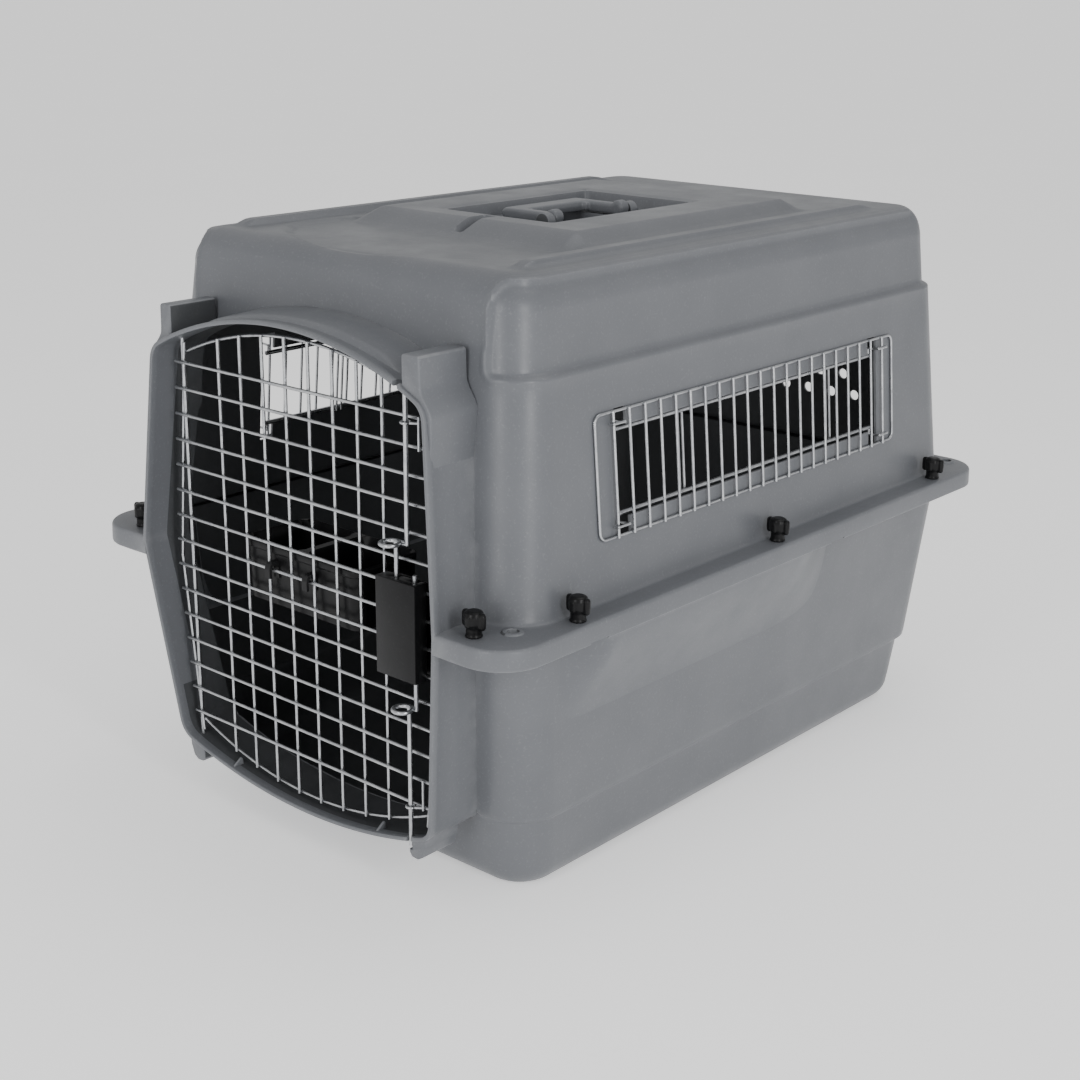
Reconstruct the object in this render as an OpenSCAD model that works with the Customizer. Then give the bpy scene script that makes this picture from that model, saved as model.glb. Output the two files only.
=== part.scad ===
// Hard-shell pet carrier: two plastic shells bolted at a rim, a welded wire door
// with a two-rod squeeze latch, wire side windows, a folding top handle and a
// clip-on twin bowl. +X is the latch side, the door faces -Y, +Z is up, and the
// origin is on the floor under the centre of the rim.

/* [Rim] */
// Length of the rim, front to back
rim_len = 825.5; // [800:0.5:850]
// Width of the rim
rim_w = 571.5; // [566:0.5:600]
// Height of the rim's top face above the floor
rim_z = 283; // [278:1:290]
// Plan radius of the rim's corners
rim_r = 45; // [35:1:55]
// Depth of the cover's turned-down rim skirt
skirt_h = 19.5; // [15:0.5:24]

/* [Shells] */
// Wall thickness of both plastic shells
wall = 3; // [2.4:0.1:3.6]
// Height of the roof
roof_z = 580; // [570:1:590]
// Height of the raised platform round the handle
platform_z = 592; // [588:1:596]
// Height of the shoulder crease on the cover
shoulder_z = 493; // [480:1:505]
// How far the shoulder panel steps in
shoulder_in = 7; // [4:0.5:10]
// Height of the low crease on the tub
crease_z = 76; // [60:1:90]

/* [Door] */
// Spacing of the upright door wires
door_pitch_x = 31.75; // [31:0.05:32.5]
// Spacing of the level door wires
door_pitch_z = 26.08; // [25.6:0.02:26.4]
// Diameter of the door wires
door_wire_d = 3.2; // [2.8:0.1:3.4]
// Diameter of the hinge rod
hinge_rod_d = 4; // [3.6:0.1:4.2]
// Diameter of the latch rods
latch_rod_d = 4.4; // [4:0.1:4.6]
// Travel of each latch rod
latch_travel = 12; // [9:1:12]

/* [Windows] */
// Number of upright wires in each window grille
window_wires = 21; // [15:2:25]
// Spacing of those wires
window_pitch = 22.86; // [18:0.02:23.4]
// Diameter of the grille wire
window_wire_d = 2.8; // [2.4:0.1:3]

/* [Fasteners and handle] */
// Diameter of the rim bolts
bolt_d = 6; // [5:0.1:6.4]
// Width across the wings of a wing nut
wing_w = 26.4; // [22:0.2:27]
// Diameter of the tie-down holes in the rim's corners
tie_hole_d = 11; // [8:0.5:12]
// Diameter of the handle's pivot stubs
handle_pin_d = 8; // [6:0.5:9]

/* [Hidden] */
$fn = 48;
SHELL = [0.49, 0.50, 0.51];
STEEL = [0.75, 0.76, 0.77];
BLACK = [0.08, 0.08, 0.09];

rim_plate = 4;
split_z = rim_z - rim_plate;
lip_gap = 0.5;
run_gap = 0.05;

// Plan of a shell at one height: [z, half width, front y, rear y, corner radius]
tub_floor = [0, 213, -310, 332, 36];
tub_bevel = [7, 223, -319, 345, 42];
tub_foot = [22, 229, -324, 357, 45];
tub_waist = [crease_z, 234, -332, 364, 45];
tub_crease = [crease_z, 237.5, -334.5, 373, 45];
tub_top = [split_z, 258, -361, 384, 45];
cover_base = [split_z, 256, -361.5, 384, 45];
cover_shoulder = [shoulder_z, 236.5, -341, 370.5, 45];
cover_eave = [roof_z - 32, 231.5, -335, 367, 32];
panel_shoulder = [shoulder_z - wall, 236.5 - shoulder_in, -341, 370.5 - shoulder_in, 40];
panel_eave = [roof_z - 32, 231.5 - shoulder_in, -335, 358, 32];
front_band_y = -300;

// Door tunnel: outline circles and sides
arch_r = 400;
arch_z = 523;
sill_r = 546;
sill_z = 41;
tunnel_top_x = 184;
tunnel_mid_x = 203;
tunnel_low_x = 180;
tunnel_top_y = -403;
tunnel_mid_y = -rim_len / 2;
tunnel_low_y = -393;
socket_top_z = 521;
socket_low_z = 38;
socket_in_x = 140;
socket_out_x = 195;

// Door wires: level wires lie in front of upright wires
wire_r = door_wire_d / 2;
level_y = -383.5;
upright_y = level_y + door_wire_d - 0.3;
door_rows = 15;
door_cols = 8;
door_mid_z = 278;
door_low_z = door_mid_z - door_pitch_z * (door_rows - 1) / 2;
door_arc_r = 400;
door_half_h = 227;
door_top_x = 171;
door_mid_x = 182;
door_low_x = 167;
hinge_x = -165;
hinge_y = level_y + wire_r + hinge_rod_d / 2 - 0.3;
hinge_top_z = 500;
hinge_low_z = 55;

// Latch
rod_r = latch_rod_d / 2;
latch_x = 150.5;
latch_y = -391;
upper_stem_x = 137;
lower_stem_x = 159.5;
rod_top_z = 499;
rod_low_z = 57;
upper_loop_z = 348;
lower_loop_z = 194.5;
loop_r = 8.5;
loop_wire_r = 2;
housing_x0 = 119;
housing_x1 = 168;
housing_z0 = 223;
housing_z1 = 315;
housing_front = -400.5;
housing_back = level_y - wire_r - 0.5;
housing_wall = 2.2;
shelf_z = 269;
shelf_h = 3;
collar_r = 4.3;
collar_h = 3;
upper_collar_z = 299;
lower_collar_z = 236;
spring_r = 3.5;
spring_wire_r = 0.6;
eye_wire_r = 1.3;
eye_top_z = door_mid_z + 179;
eye_low_z = door_mid_z - 182;
post_x = [126, 148.3];
post_z = [238.6, 290.7];
post_r = 2.5;

// Windows, in the slanted plane of each side wall
wall_lean = atan(0.09);
window_z = 395;
window_y = 2;
window_x = 256 - 0.0911 * (window_z - split_z);
grille_half_l = 252;
grille_half_h = 57;
window_half_l = 223;
window_half_h = 42;
window_slot = 17;
clip_rod_r = 2.4;
clip_rod_v = 39;
clip_n = -wall - clip_rod_r - 0.4;
clip_tie_u = [-115, 140];

// Hand-lift webs under the long sides of the rim
web_y = [-275, 80];
web_low_z = 168;
web_x = rim_w / 2 - 1.4;

// Rim fasteners
nut_x = 271;
nut_y = [-302, 8, 318];
front_nut = [230, -391];
nut_points = [[front_nut[0], front_nut[1]], [-front_nut[0], front_nut[1]],
              [nut_x, nut_y[0]], [nut_x, nut_y[1]], [nut_x, nut_y[2]],
              [-nut_x, nut_y[0]], [-nut_x, nut_y[1]], [-nut_x, nut_y[2]]];
tie_x = 248;
tie_y = [-362, 392];
nut_h = 24;
nut_hub_r = 8.6;

// Handle
well_x = 72;
well_y = 112;
well_z = roof_z - 2;
pocket_x = 50;
pockets = [[0, 46], [-91, 14], [91, 14]];
pocket_z = 552;
handle_pin_x = 24;
handle_pin_z = 586;
grip_x = -30;
grip_w = 24;
grip_t = 11;
arm_y = 54;
arm_w = 12;
boss_y0 = 60.6;
boss_y1 = 72;

// Twin bowl
bowl_x0 = -92;
bowl_x1 = 72;
bowl_front = upright_y + wire_r + 1;
bowl_depth = 84;
bowl_top = 300;
bowl_low = 239;
bowl_wall = 2.2;
hook_x = [-42, 10.5];
hook_w = 6;
hook_wire_z = door_low_z + 7 * door_pitch_z;

// Springs
function ring(c, rad, sides) =
    [for (k = [0:sides - 1]) c + rad * [cos(360 * k / sides), sin(360 * k / sides)]];

module posts(p, lift = 0, inset = 0) {
    r = max(p[4] - inset, 2);
    for (sx = [-1, 1], y = [p[2] + inset + r, p[3] - inset - r])
        translate([sx * (p[1] - inset - r), y, p[0] + lift])
            cylinder(r = r, h = 0.2, $fn = 32);
}

module eave_balls(p, inset = 0) {
    r = p[4] - inset;
    for (sx = [-1, 1], y = [p[2] + p[4], p[3] - p[4]])
        translate([sx * (p[1] - p[4]), y, p[0]])
            sphere(r = r, $fn = 32);
}

module rounded_rect(half_w, half_l, r) {
    square([2 * half_w, 2 * (half_l - r)], center = true);
    square([2 * (half_w - r), 2 * half_l], center = true);
    for (sx = [-1, 1], sy = [-1, 1])
        translate([sx * (half_w - r), sy * (half_l - r)])
            circle(r = r);
}

// Door tunnel outline in the X-Z plane, grown by off
module tunnel_outline(off = 0) {
    intersection() {
        translate([0, arch_z - arch_r]) circle(r = arch_r + off, $fn = 96);
        translate([0, sill_z + sill_r]) circle(r = sill_r + off, $fn = 96);
        polygon([[-tunnel_low_x - off, 0], [tunnel_low_x + off, 0],
                 [tunnel_low_x + off, 90], [tunnel_mid_x + off, split_z],
                 [tunnel_top_x + off, 480], [tunnel_top_x + off, 560],
                 [-tunnel_top_x - off, 560], [-tunnel_top_x - off, 480],
                 [-tunnel_mid_x - off, split_z], [-tunnel_low_x - off, 90]]);
    }
}

module along_y(y0, y1) {
    translate([0, y1, 0]) rotate([90, 0, 0]) linear_extrude(y1 - y0) children();
}

// Side profile that keeps the tunnel's mouth to its three depths
module mouth_profile(z0, z1) {
    rotate([90, 0, 90]) translate([0, 0, -300]) linear_extrude(600)
        polygon([[tunnel_low_y, sill_z - 20], [tunnel_mid_y, split_z],
                 [tunnel_top_y, arch_z + 10], [-290, arch_z + 10], [-290, sill_z - 20]]);
}

module rod_socket(sx, z0, z1, y0) {
    x0 = sx > 0 ? socket_in_x : -socket_out_x;
    translate([x0, y0, z0]) cube([socket_out_x - socket_in_x, -330 - y0, z1 - z0]);
}

// Everything that pierces the tunnel: the doorway, the hinge bores and the latch notches
module tunnel_cuts() {
    along_y(-430, -300) tunnel_outline(-wall);
    translate([hinge_x, hinge_y, hinge_low_z - 3])
        cylinder(d = hinge_rod_d + 2 * run_gap, h = hinge_top_z - hinge_low_z + 6);
    for (z = [rod_low_z - 4, rod_top_z - 25]) {
        translate([latch_x, latch_y, z]) cylinder(r = rod_r + 0.6, h = 29);
        translate([latch_x - rod_r - 0.6, latch_y - 40, z])
            cube([latch_rod_d + 1.2, 40, 29]);
    }
}

module rim_holes(round_bolts) {
    for (p = nut_points)
        translate([p[0], p[1], rim_z - 20]) {
            if (round_bolts) cylinder(d = bolt_d + 0.8, h = 30);
            else translate([-bolt_d / 2 - 0.3, -bolt_d / 2 - 0.3, 0])
                cube([bolt_d + 0.6, bolt_d + 0.6, 30]);
        }
    for (sx = [-1, 1], y = tie_y)
        translate([sx * tie_x, y, rim_z - 20]) cylinder(d = tie_hole_d, h = 30);
}

// Thin web that runs from the tub's wall up to the rim's edge, right-hand side
module lift_web() {
    top_z = rim_z - skirt_h - 0.4;
    translate([0, web_y[1], 0]) rotate([90, 0, 0]) linear_extrude(web_y[1] - web_y[0])
        polygon([[244, web_low_z], [248, web_low_z], [web_x, top_z - 14], [web_x, top_z],
                 [web_x - wall, top_z], [web_x - wall, top_z - 13]]);
}

module base_tub() {
    color(SHELL) difference() {
        union() {
            lift_web();
            mirror([1, 0, 0]) lift_web();
            hull() {
                posts(tub_floor);
                posts(tub_bevel);
                posts(tub_foot);
                posts(tub_waist, 3);
            }
            hull() {
                posts(tub_crease);
                posts(tub_top, -0.2);
            }
            translate([0, 0, split_z - rim_plate]) linear_extrude(rim_plate)
                rounded_rect(rim_w / 2 - wall - lip_gap, rim_len / 2 - wall - lip_gap,
                             rim_r - wall);
            intersection() {
                along_y(-420, -318) tunnel_outline();
                mouth_profile();
                translate([-300, -430, 0]) cube([600, 140, split_z]);
            }
            for (sx = [-1, 1])
                rod_socket(sx, socket_low_z, 78, tunnel_low_y - 0.5);
        }
        hull() {
            posts(tub_floor, wall, wall);
            posts(tub_bevel, wall, wall);
            posts(tub_foot, 0, wall);
            posts(tub_waist, 4, wall);
        }
        hull() {
            posts(tub_crease, wall, wall);
            posts(tub_top, 0, wall);
        }
        tunnel_cuts();
        rim_holes(false);
    }
}

module side_frame(side) {
    mirror([side > 0 ? 0 : 1, 0, 0])
        translate([window_x, window_y, window_z]) rotate([0, -wall_lean, 0]) children();
}

module window_opening() {
    translate([-40, -window_half_l, -window_half_h])
        cube([60, 2 * window_half_l, 2 * window_half_h]);
    for (su = [-1, 1])
        translate([-40, su * (window_half_l - window_slot / 2) - window_slot / 2,
                   -window_half_h - window_slot])
            cube([60, window_slot, 2 * (window_half_h + window_slot)]);
}

module rear_vents() {
    for (row = [0:4]) {
        n = 9 - row;
        for (k = [0:n - 1])
            translate([(k - (n - 1) / 2) * 32, 395, 345 + row * 24])
                rotate([90, 0, 0]) cylinder(d = 12, h = 60);
    }
}

module top_cover() {
    platform = [roof_z - 4, 156, -188, 222, 30];
    platform_top = [platform_z, 129, -143, 190, 14];
    color(SHELL) difference() {
        union() {
            difference() {
                union() {
                    hull() {
                        posts(cover_base);
                        posts(cover_shoulder, -0.2);
                    }
                    hull() {
                        posts(panel_shoulder);
                        eave_balls(panel_eave);
                    }
                    hull() {
                        intersection() {
                            union() {
                                posts(cover_shoulder, -3);
                                posts([cover_shoulder[0], cover_shoulder[1],
                                       cover_shoulder[2], front_band_y, 4], -3);
                                eave_balls(cover_eave);
                                for (sx = [-1, 1])
                                    translate([sx * (cover_eave[1] - cover_eave[4]),
                                               front_band_y, cover_eave[0]])
                                        rotate([90, 0, 0]) cylinder(r = cover_eave[4], h = 8, $fn = 32);
                            }
                            translate([-300, -400, 400]) cube([600, front_band_y + 400, 300]);
                        }
                    }
                    hull() {
                        posts(platform);
                        posts(platform_top, -0.2);
                    }
                    intersection() {
                        along_y(-420, -318) tunnel_outline();
                        mouth_profile();
                        translate([-300, -430, split_z]) cube([600, 140, 300]);
                    }
                    for (sx = [-1, 1])
                        rod_socket(sx, 470, socket_top_z, tunnel_top_y + 2);
                }
                hull() {
                    posts(cover_base, -1, wall);
                    posts(cover_shoulder, -0.2 - wall, wall);
                }
                hull() {
                    posts(panel_shoulder, -6, wall);
                    eave_balls(panel_eave, wall);
                }
                hull() {
                    posts(platform, -2, wall);
                    posts(platform_top, -0.2 - wall, wall + 1);
                }
            }
            difference() {
                translate([0, 0, rim_z - skirt_h]) linear_extrude(skirt_h)
                    rounded_rect(rim_w / 2, rim_len / 2, rim_r);
                translate([0, 0, rim_z - skirt_h - 1]) linear_extrude(skirt_h + 1 - rim_plate)
                    rounded_rect(rim_w / 2 - wall, rim_len / 2 - wall, rim_r - wall);
                translate([-tunnel_mid_x - 0.5, -430, rim_z - skirt_h - 1])
                    cube([2 * tunnel_mid_x + 1, 60, skirt_h + 1 - rim_plate]);
                translate([0, 0, rim_z - 10]) linear_extrude(20)
                    translate([0, (cover_base[2] + cover_base[3]) / 2])
                        rounded_rect(cover_base[1] - wall, (cover_base[3] - cover_base[2]) / 2 - wall,
                                     cover_base[4] - wall);
            }
            translate([-well_x - wall, -well_y - wall, well_z - wall])
                cube([2 * (well_x + wall), 2 * (well_y + wall), platform_z - well_z + wall - 0.2]);
            for (p = pockets)
                translate([-pocket_x - wall, p[0] - p[1] - wall, pocket_z - wall])
                    cube([2 * (pocket_x + wall), 2 * (p[1] + wall), well_z - pocket_z + wall]);
        }
        translate([-well_x, -well_y, well_z]) cube([2 * well_x, 2 * well_y, 40]);
        for (p = pockets)
            translate([-pocket_x, p[0] - p[1], pocket_z]) cube([2 * pocket_x, 2 * p[1], 60]);
        tunnel_cuts();
        rim_holes(true);
        rear_vents();
        side_frame(1) window_opening();
        side_frame(-1) window_opening();
    }
    color(SHELL) for (s = [-1, 1])
        difference() {
            translate([handle_pin_x - 9, s > 0 ? boss_y0 : -boss_y1, well_z - 1])
                cube([18, boss_y1 - boss_y0, handle_pin_z - well_z + 7]);
            translate([handle_pin_x, s * 50, handle_pin_z]) rotate([-s * 90, 0, 0])
                cylinder(d = handle_pin_d + 2 * run_gap, h = boss_y1 - 50 - 3);
        }
}

module carry_handle() {
    color(SHELL) {
        translate([grip_x, arm_y + arm_w / 2, handle_pin_z - 1]) rotate([90, 0, 0])
            linear_extrude(2 * arm_y + arm_w)
                intersection() {
                    square([grip_w, grip_t], center = true);
                    circle(d = grip_w + 1);
                }
        for (s = [-1, 1]) {
            translate([grip_x, s * arm_y - arm_w / 2, handle_pin_z - 5])
                cube([handle_pin_x - grip_x, arm_w, 8]);
            translate([handle_pin_x, s * arm_y + arm_w / 2, handle_pin_z]) rotate([90, 0, 0])
                cylinder(r = 6, h = arm_w);
            translate([handle_pin_x, s * (arm_y + 3), handle_pin_z]) rotate([-s * 90, 0, 0])
                cylinder(d = handle_pin_d, h = 10);
        }
    }
}

function door_edge(z) = z > 260
    ? door_mid_x - (door_mid_x - door_top_x) * (z - 260) / 201
    : door_low_x + (door_mid_x - door_low_x) * (z - 89) / 171;

module rod_between(a, b, r) {
    v = b - a;
    len = norm(v);
    translate(a) rotate([0, acos(v[2] / len), atan2(v[1], v[0])]) cylinder(r = r, h = len);
}

// Arc wire of the door frame, bowed up (side = 1) or down (side = -1)
module arch_wire(side, y) {
    half = asin(163 / door_arc_r);
    translate([0, y, door_mid_z + side * (door_half_h - door_arc_r)]) rotate([90, 0, 0])
        rotate([0, 0, side * 90 - half]) rotate_extrude(angle = 2 * half, $fn = 96)
            translate([door_arc_r, 0]) circle(r = wire_r, $fn = 24);
}

// Eye round a latch rod, on a link wire between two level wires
module guide_eye(z, row) {
    link_x = latch_x + 11;
    link_y = level_y - wire_r - eye_wire_r + 0.3;
    ring_r = rod_r + 0.45 + eye_wire_r;
    translate([latch_x, latch_y, z]) rotate_extrude($fn = 32)
        translate([ring_r, 0]) circle(r = eye_wire_r, $fn = 16);
    rod_between([latch_x + ring_r, latch_y, z], [link_x, link_y, z], eye_wire_r);
    translate([link_x, link_y, door_low_z + row * door_pitch_z - 2])
        cylinder(r = eye_wire_r, h = door_pitch_z + 4);
}

module door_mesh() {
    color(STEEL) {
        for (k = [0:door_rows - 1]) {
            z = door_low_z + k * door_pitch_z;
            translate([-door_edge(z) - 2, level_y, z]) rotate([0, 90, 0])
                cylinder(r = wire_r, h = 2 * door_edge(z) + 4);
        }
        for (k = [0:door_cols - 1]) {
            x = (k - (door_cols - 1) / 2) * door_pitch_x;
            reach = door_half_h - door_arc_r + sqrt(door_arc_r * door_arc_r - x * x);
            translate([x, upright_y, door_mid_z - reach - 1])
                cylinder(r = wire_r, h = 2 * reach + 2);
        }
        for (side = [-1, 1])
            arch_wire(side, upright_y + door_wire_d - 0.3);
        for (sx = [-1, 1]) {
            rod_between([sx * (door_low_x - 5), upright_y, 75],
                        [sx * door_mid_x, upright_y, 259.7], wire_r);
            rod_between([sx * door_mid_x, upright_y, 260.3],
                        [sx * (door_top_x - 9), upright_y, 480], wire_r);
            translate([sx * door_mid_x, upright_y, 260]) sphere(r = wire_r + 0.2);
        }
        guide_eye(eye_top_z, door_rows - 2);
        guide_eye(eye_low_z, 0);
    }
}

module hinge_rod() {
    color(STEEL) translate([hinge_x, hinge_y, hinge_low_z])
        cylinder(d = hinge_rod_d, h = hinge_top_z - hinge_low_z);
}

module latch_housing() {
    w = housing_x1 - housing_x0;
    h = housing_z1 - housing_z0;
    d = housing_back - housing_front;
    color(BLACK) difference() {
        union() {
            difference() {
                translate([housing_x0, housing_front, housing_z0]) cube([w, d, h]);
                translate([housing_x0 + housing_wall, housing_front + housing_wall,
                           housing_z0 + housing_wall])
                    cube([w - 2 * housing_wall, d, h - 2 * housing_wall]);
            }
            translate([housing_x0 + 1, housing_front + 1, shelf_z - shelf_h / 2])
                cube([w - 2, d - 1, shelf_h]);
            for (x = post_x, z = post_z)
                translate([x, housing_back, z]) rotate([90, 0, 0])
                    cylinder(r = post_r + 1.6, h = d - 1);
        }
        for (x = [upper_stem_x, lower_stem_x])
            translate([x, latch_y, housing_z0 - 5]) {
                cylinder(r = rod_r + 0.3, h = h + 10);
                translate([-rod_r - 0.3, 0, 0]) cube([latch_rod_d + 0.6, 20, h + 10]);
            }
        for (x = post_x, z = post_z)
            translate([x, housing_back + 1, z]) rotate([90, 0, 0])
                cylinder(r = post_r + 0.05, h = d - 2);
    }
}

module latch_back_plate() {
    back = upright_y + wire_r + 0.3;
    color(BLACK) {
        translate([housing_x0, back, housing_z0 + 3])
            cube([housing_x1 - housing_x0, 2.6, housing_z1 - housing_z0 - 6]);
        for (x = post_x, z = post_z)
            translate([x, back + 1, z]) rotate([90, 0, 0])
                cylinder(r = post_r, h = back + 1 - housing_back + 9);
    }
}

// A thumb loop lying level in front of its stem
module thumb_loop(x, z) {
    translate([x, latch_y - loop_r, z]) rotate_extrude($fn = 32)
        translate([loop_r, 0]) circle(r = loop_wire_r, $fn = 24);
}

module upper_latch_rod() {
    color(STEEL) {
        translate([latch_x, latch_y, upper_loop_z]) cylinder(r = rod_r, h = rod_top_z - upper_loop_z);
        translate([latch_x, latch_y, upper_loop_z]) sphere(r = rod_r);
        translate([upper_stem_x, latch_y, upper_loop_z]) rotate([0, 90, 0])
            cylinder(r = rod_r - 0.1, h = latch_x - upper_stem_x);
        thumb_loop(upper_stem_x + 0.5, upper_loop_z);
        translate([upper_stem_x, latch_y, housing_z0 - 1.5])
            cylinder(r = rod_r, h = upper_loop_z - housing_z0 + 1.5);
        translate([upper_stem_x, latch_y, upper_collar_z]) cylinder(r = collar_r, h = collar_h);
    }
}

module lower_latch_rod() {
    color(STEEL) {
        translate([latch_x, latch_y, rod_low_z]) cylinder(r = rod_r, h = lower_loop_z - rod_low_z);
        translate([latch_x, latch_y, lower_loop_z]) sphere(r = rod_r);
        translate([latch_x, latch_y, lower_loop_z]) rotate([0, 90, 0])
            cylinder(r = rod_r - 0.1, h = lower_stem_x - latch_x);
        thumb_loop(latch_x - 0.5, lower_loop_z);
        translate([lower_stem_x, latch_y, lower_loop_z])
            cylinder(r = rod_r, h = housing_z1 + 6 - lower_loop_z);
        translate([lower_stem_x, latch_y, lower_loop_z]) sphere(r = rod_r);
        translate([lower_stem_x, latch_y, lower_collar_z]) cylinder(r = collar_r, h = collar_h);
    }
}

// Helical wire between two heights round an upright axis
module coil_spring(x, z0, z1, turns) {
    steps = 14 * turns;
    sides = 6;
    span = z1 - z0 - 2 * spring_wire_r - 0.2;
    points = [for (i = [0:steps], k = [0:sides - 1])
        let (a = 360 * i / 14, b = 360 * k / sides, rad = spring_r + spring_wire_r * cos(b))
        [x + rad * cos(a), latch_y + rad * sin(a),
         z0 + 0.1 + spring_wire_r + span * i / steps + spring_wire_r * sin(b)]];
    faces = concat(
        [[for (k = [0:sides - 1]) k]],
        [for (i = [0:steps - 1], k = [0:sides - 1])
            [i * sides + k, (i + 1) * sides + k,
             (i + 1) * sides + (k + 1) % sides, i * sides + (k + 1) % sides]],
        [[for (k = [0:sides - 1]) (steps + 1) * sides - 1 - k]]);
    polyhedron(points, faces);
}

module upper_latch_spring() {
    color(STEEL) coil_spring(upper_stem_x, shelf_z + shelf_h / 2, upper_collar_z, 8);
}

module lower_latch_spring() {
    color(STEEL) coil_spring(lower_stem_x, lower_collar_z + collar_h, shelf_z - shelf_h / 2, 8);
}

// Grille: a bent frame wire with upright wires welded over it
module window_grille() {
    r = window_wire_d / 2;
    n = r + 0.3;
    bend = 8;
    for (sv = [-1, 1])
        translate([n, -grille_half_l + bend, sv * grille_half_h]) rotate([-90, 0, 0])
            cylinder(r = r, h = 2 * (grille_half_l - bend));
    for (su = [-1, 1])
        translate([n, su * grille_half_l, -grille_half_h + bend])
            cylinder(r = r, h = 2 * (grille_half_h - bend));
    for (q = [0:3])
        translate([n, (q == 0 || q == 3 ? 1 : -1) * (grille_half_l - bend),
                   (q < 2 ? 1 : -1) * (grille_half_h - bend)])
            rotate([90 * q, 0, 0]) rotate([90, 0, 90])
                rotate_extrude(angle = 90) translate([bend, 0]) circle(r = r, $fn = 24);
    for (k = [0:window_wires - 1])
        translate([n + window_wire_d - 0.3, (k - (window_wires - 1) / 2) * window_pitch,
                   -grille_half_h - 1])
            cylinder(r = r, h = 2 * grille_half_h + 2);
}

// Wire through a list of points, with a ball at each bend
module bent_wire(points, r) {
    last = len(points) - 1;
    for (k = [0:last - 1]) {
        step = (points[k + 1] - points[k]) / norm(points[k + 1] - points[k]);
        rod_between(points[k] + (k > 0 ? 0.3 : 0) * step,
                    points[k + 1] - (k < last - 1 ? 0.3 : 0) * step, r);
        if (k > 0) translate(points[k]) sphere(r = r + 0.15);
    }
}

// Retaining clip inside the wall, with a hook through each corner slot round the end wires
module window_clip() {
    r = 1.3;
    end_u = (window_wires - 1) / 2 * window_pitch;
    out_n = 2 * window_wire_d + 0.5 + r;
    slot_u = end_u - 12;
    for (sv = [-1, 1])
        translate([clip_n, -slot_u - 3, sv * clip_rod_v]) rotate([-90, 0, 0])
            cylinder(r = clip_rod_r, h = 2 * slot_u + 6);
    for (u = clip_tie_u, du = [-3.5, 3.5])
        translate([clip_n - clip_rod_r - r + 0.3, u + du, -clip_rod_v - 3])
            cylinder(r = r, h = 2 * clip_rod_v + 6);
    for (su = [-1, 1], sv = [-1, 1]) {
        v = sv * (clip_rod_v + 8);
        hook_u = su * (end_u + 3.5);
        bent_wire([[clip_n, su * slot_u, sv * clip_rod_v], [clip_n, su * slot_u, v],
                   [out_n, su * slot_u, v], [out_n, hook_u, v], [3, hook_u, v]], r);
    }
}

module window_grille_right() {
    color(STEEL) side_frame(1) window_grille();
}

module window_grille_left() {
    color(STEEL) side_frame(-1) window_grille();
}

module window_clip_right() {
    color(STEEL) side_frame(1) window_clip();
}

module window_clip_left() {
    color(STEEL) side_frame(-1) window_clip();
}

module rim_bolts() {
    color(STEEL) for (p = nut_points)
        translate([p[0], p[1], split_z - rim_plate]) {
            translate([0, 0, -2.6]) cylinder(r = 7.5, h = 2.5);
            translate([-bolt_d / 2, -bolt_d / 2, -0.2]) cube([bolt_d, bolt_d, 3]);
            cylinder(d = bolt_d, h = 2 * rim_plate + 14);
        }
}

module wing_nut(p) {
    color(BLACK) translate([p[0], p[1], rim_z + 0.1]) difference() {
        union() {
            cylinder(r = nut_hub_r + 1.6, h = 3);
            cylinder(r = nut_hub_r, h = nut_h - 3);
            translate([0, 0, nut_h - 3]) cylinder(r1 = nut_hub_r, r2 = nut_hub_r - 3, h = 3);
            for (s = [-1, 1])
                translate([s > 0 ? nut_hub_r - 3 : -wing_w / 2 + 2.5, -2.5, 6])
                    cube([wing_w / 2 - nut_hub_r + 0.5, 5, nut_h - 9]);
            for (s = [-1, 1])
                translate([s * (wing_w / 2 - 2.5), 0, 6]) cylinder(r = 2.5, h = nut_h - 9);
        }
        translate([0, 0, -1]) cylinder(d = bolt_d + 2 * run_gap, h = 16);
    }
}

module wing_nut_front_right() { wing_nut(nut_points[0]); }
module wing_nut_front_left() { wing_nut(nut_points[1]); }
module wing_nut_right_1() { wing_nut(nut_points[2]); }
module wing_nut_right_2() { wing_nut(nut_points[3]); }
module wing_nut_right_3() { wing_nut(nut_points[4]); }
module wing_nut_left_1() { wing_nut(nut_points[5]); }
module wing_nut_left_2() { wing_nut(nut_points[6]); }
module wing_nut_left_3() { wing_nut(nut_points[7]); }

// One rounded dish block of the bowl between two x values, shrunk by inset
module dish(x0, x1, inset, z0) {
    r = 14 - inset;
    translate([0, 0, z0]) linear_extrude(bowl_top - z0 + inset) {
        for (x = [x0 + 14, x1 - 14], y = [bowl_front + 14, bowl_front + bowl_depth - 14])
            translate([x, y]) circle(r = r);
        translate([x0 + inset, bowl_front + 14]) square([x1 - x0 - 2 * inset, bowl_depth - 28]);
        translate([x0 + 14, bowl_front + inset]) square([x1 - x0 - 28, bowl_depth - 2 * inset]);
    }
}

module twin_bowl() {
    hook_gap = wire_r + 0.5;
    middle = (bowl_x0 + bowl_x1) / 2;
    color(BLACK) {
        difference() {
            dish(bowl_x0, bowl_x1, 0, bowl_low);
            dish(bowl_x0, middle, bowl_wall, bowl_low + bowl_wall);
            dish(middle, bowl_x1, bowl_wall, bowl_low + bowl_wall);
        }
        for (x = hook_x)
            translate([x - hook_w / 2, 0, 0]) {
                translate([0, level_y - hook_gap - 3, hook_wire_z + hook_gap])
                    cube([hook_w, bowl_front - level_y + hook_gap + 4, 4]);
                translate([0, level_y - hook_gap - 3, hook_wire_z - 8])
                    cube([hook_w, 3, 8 + hook_gap + 4]);
            }
    }
}

module blank_label() {
    color([0.62, 0.62, 0.6]) translate([-64, 228, roof_z]) cube([128, 46, 0.6]);
}

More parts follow.
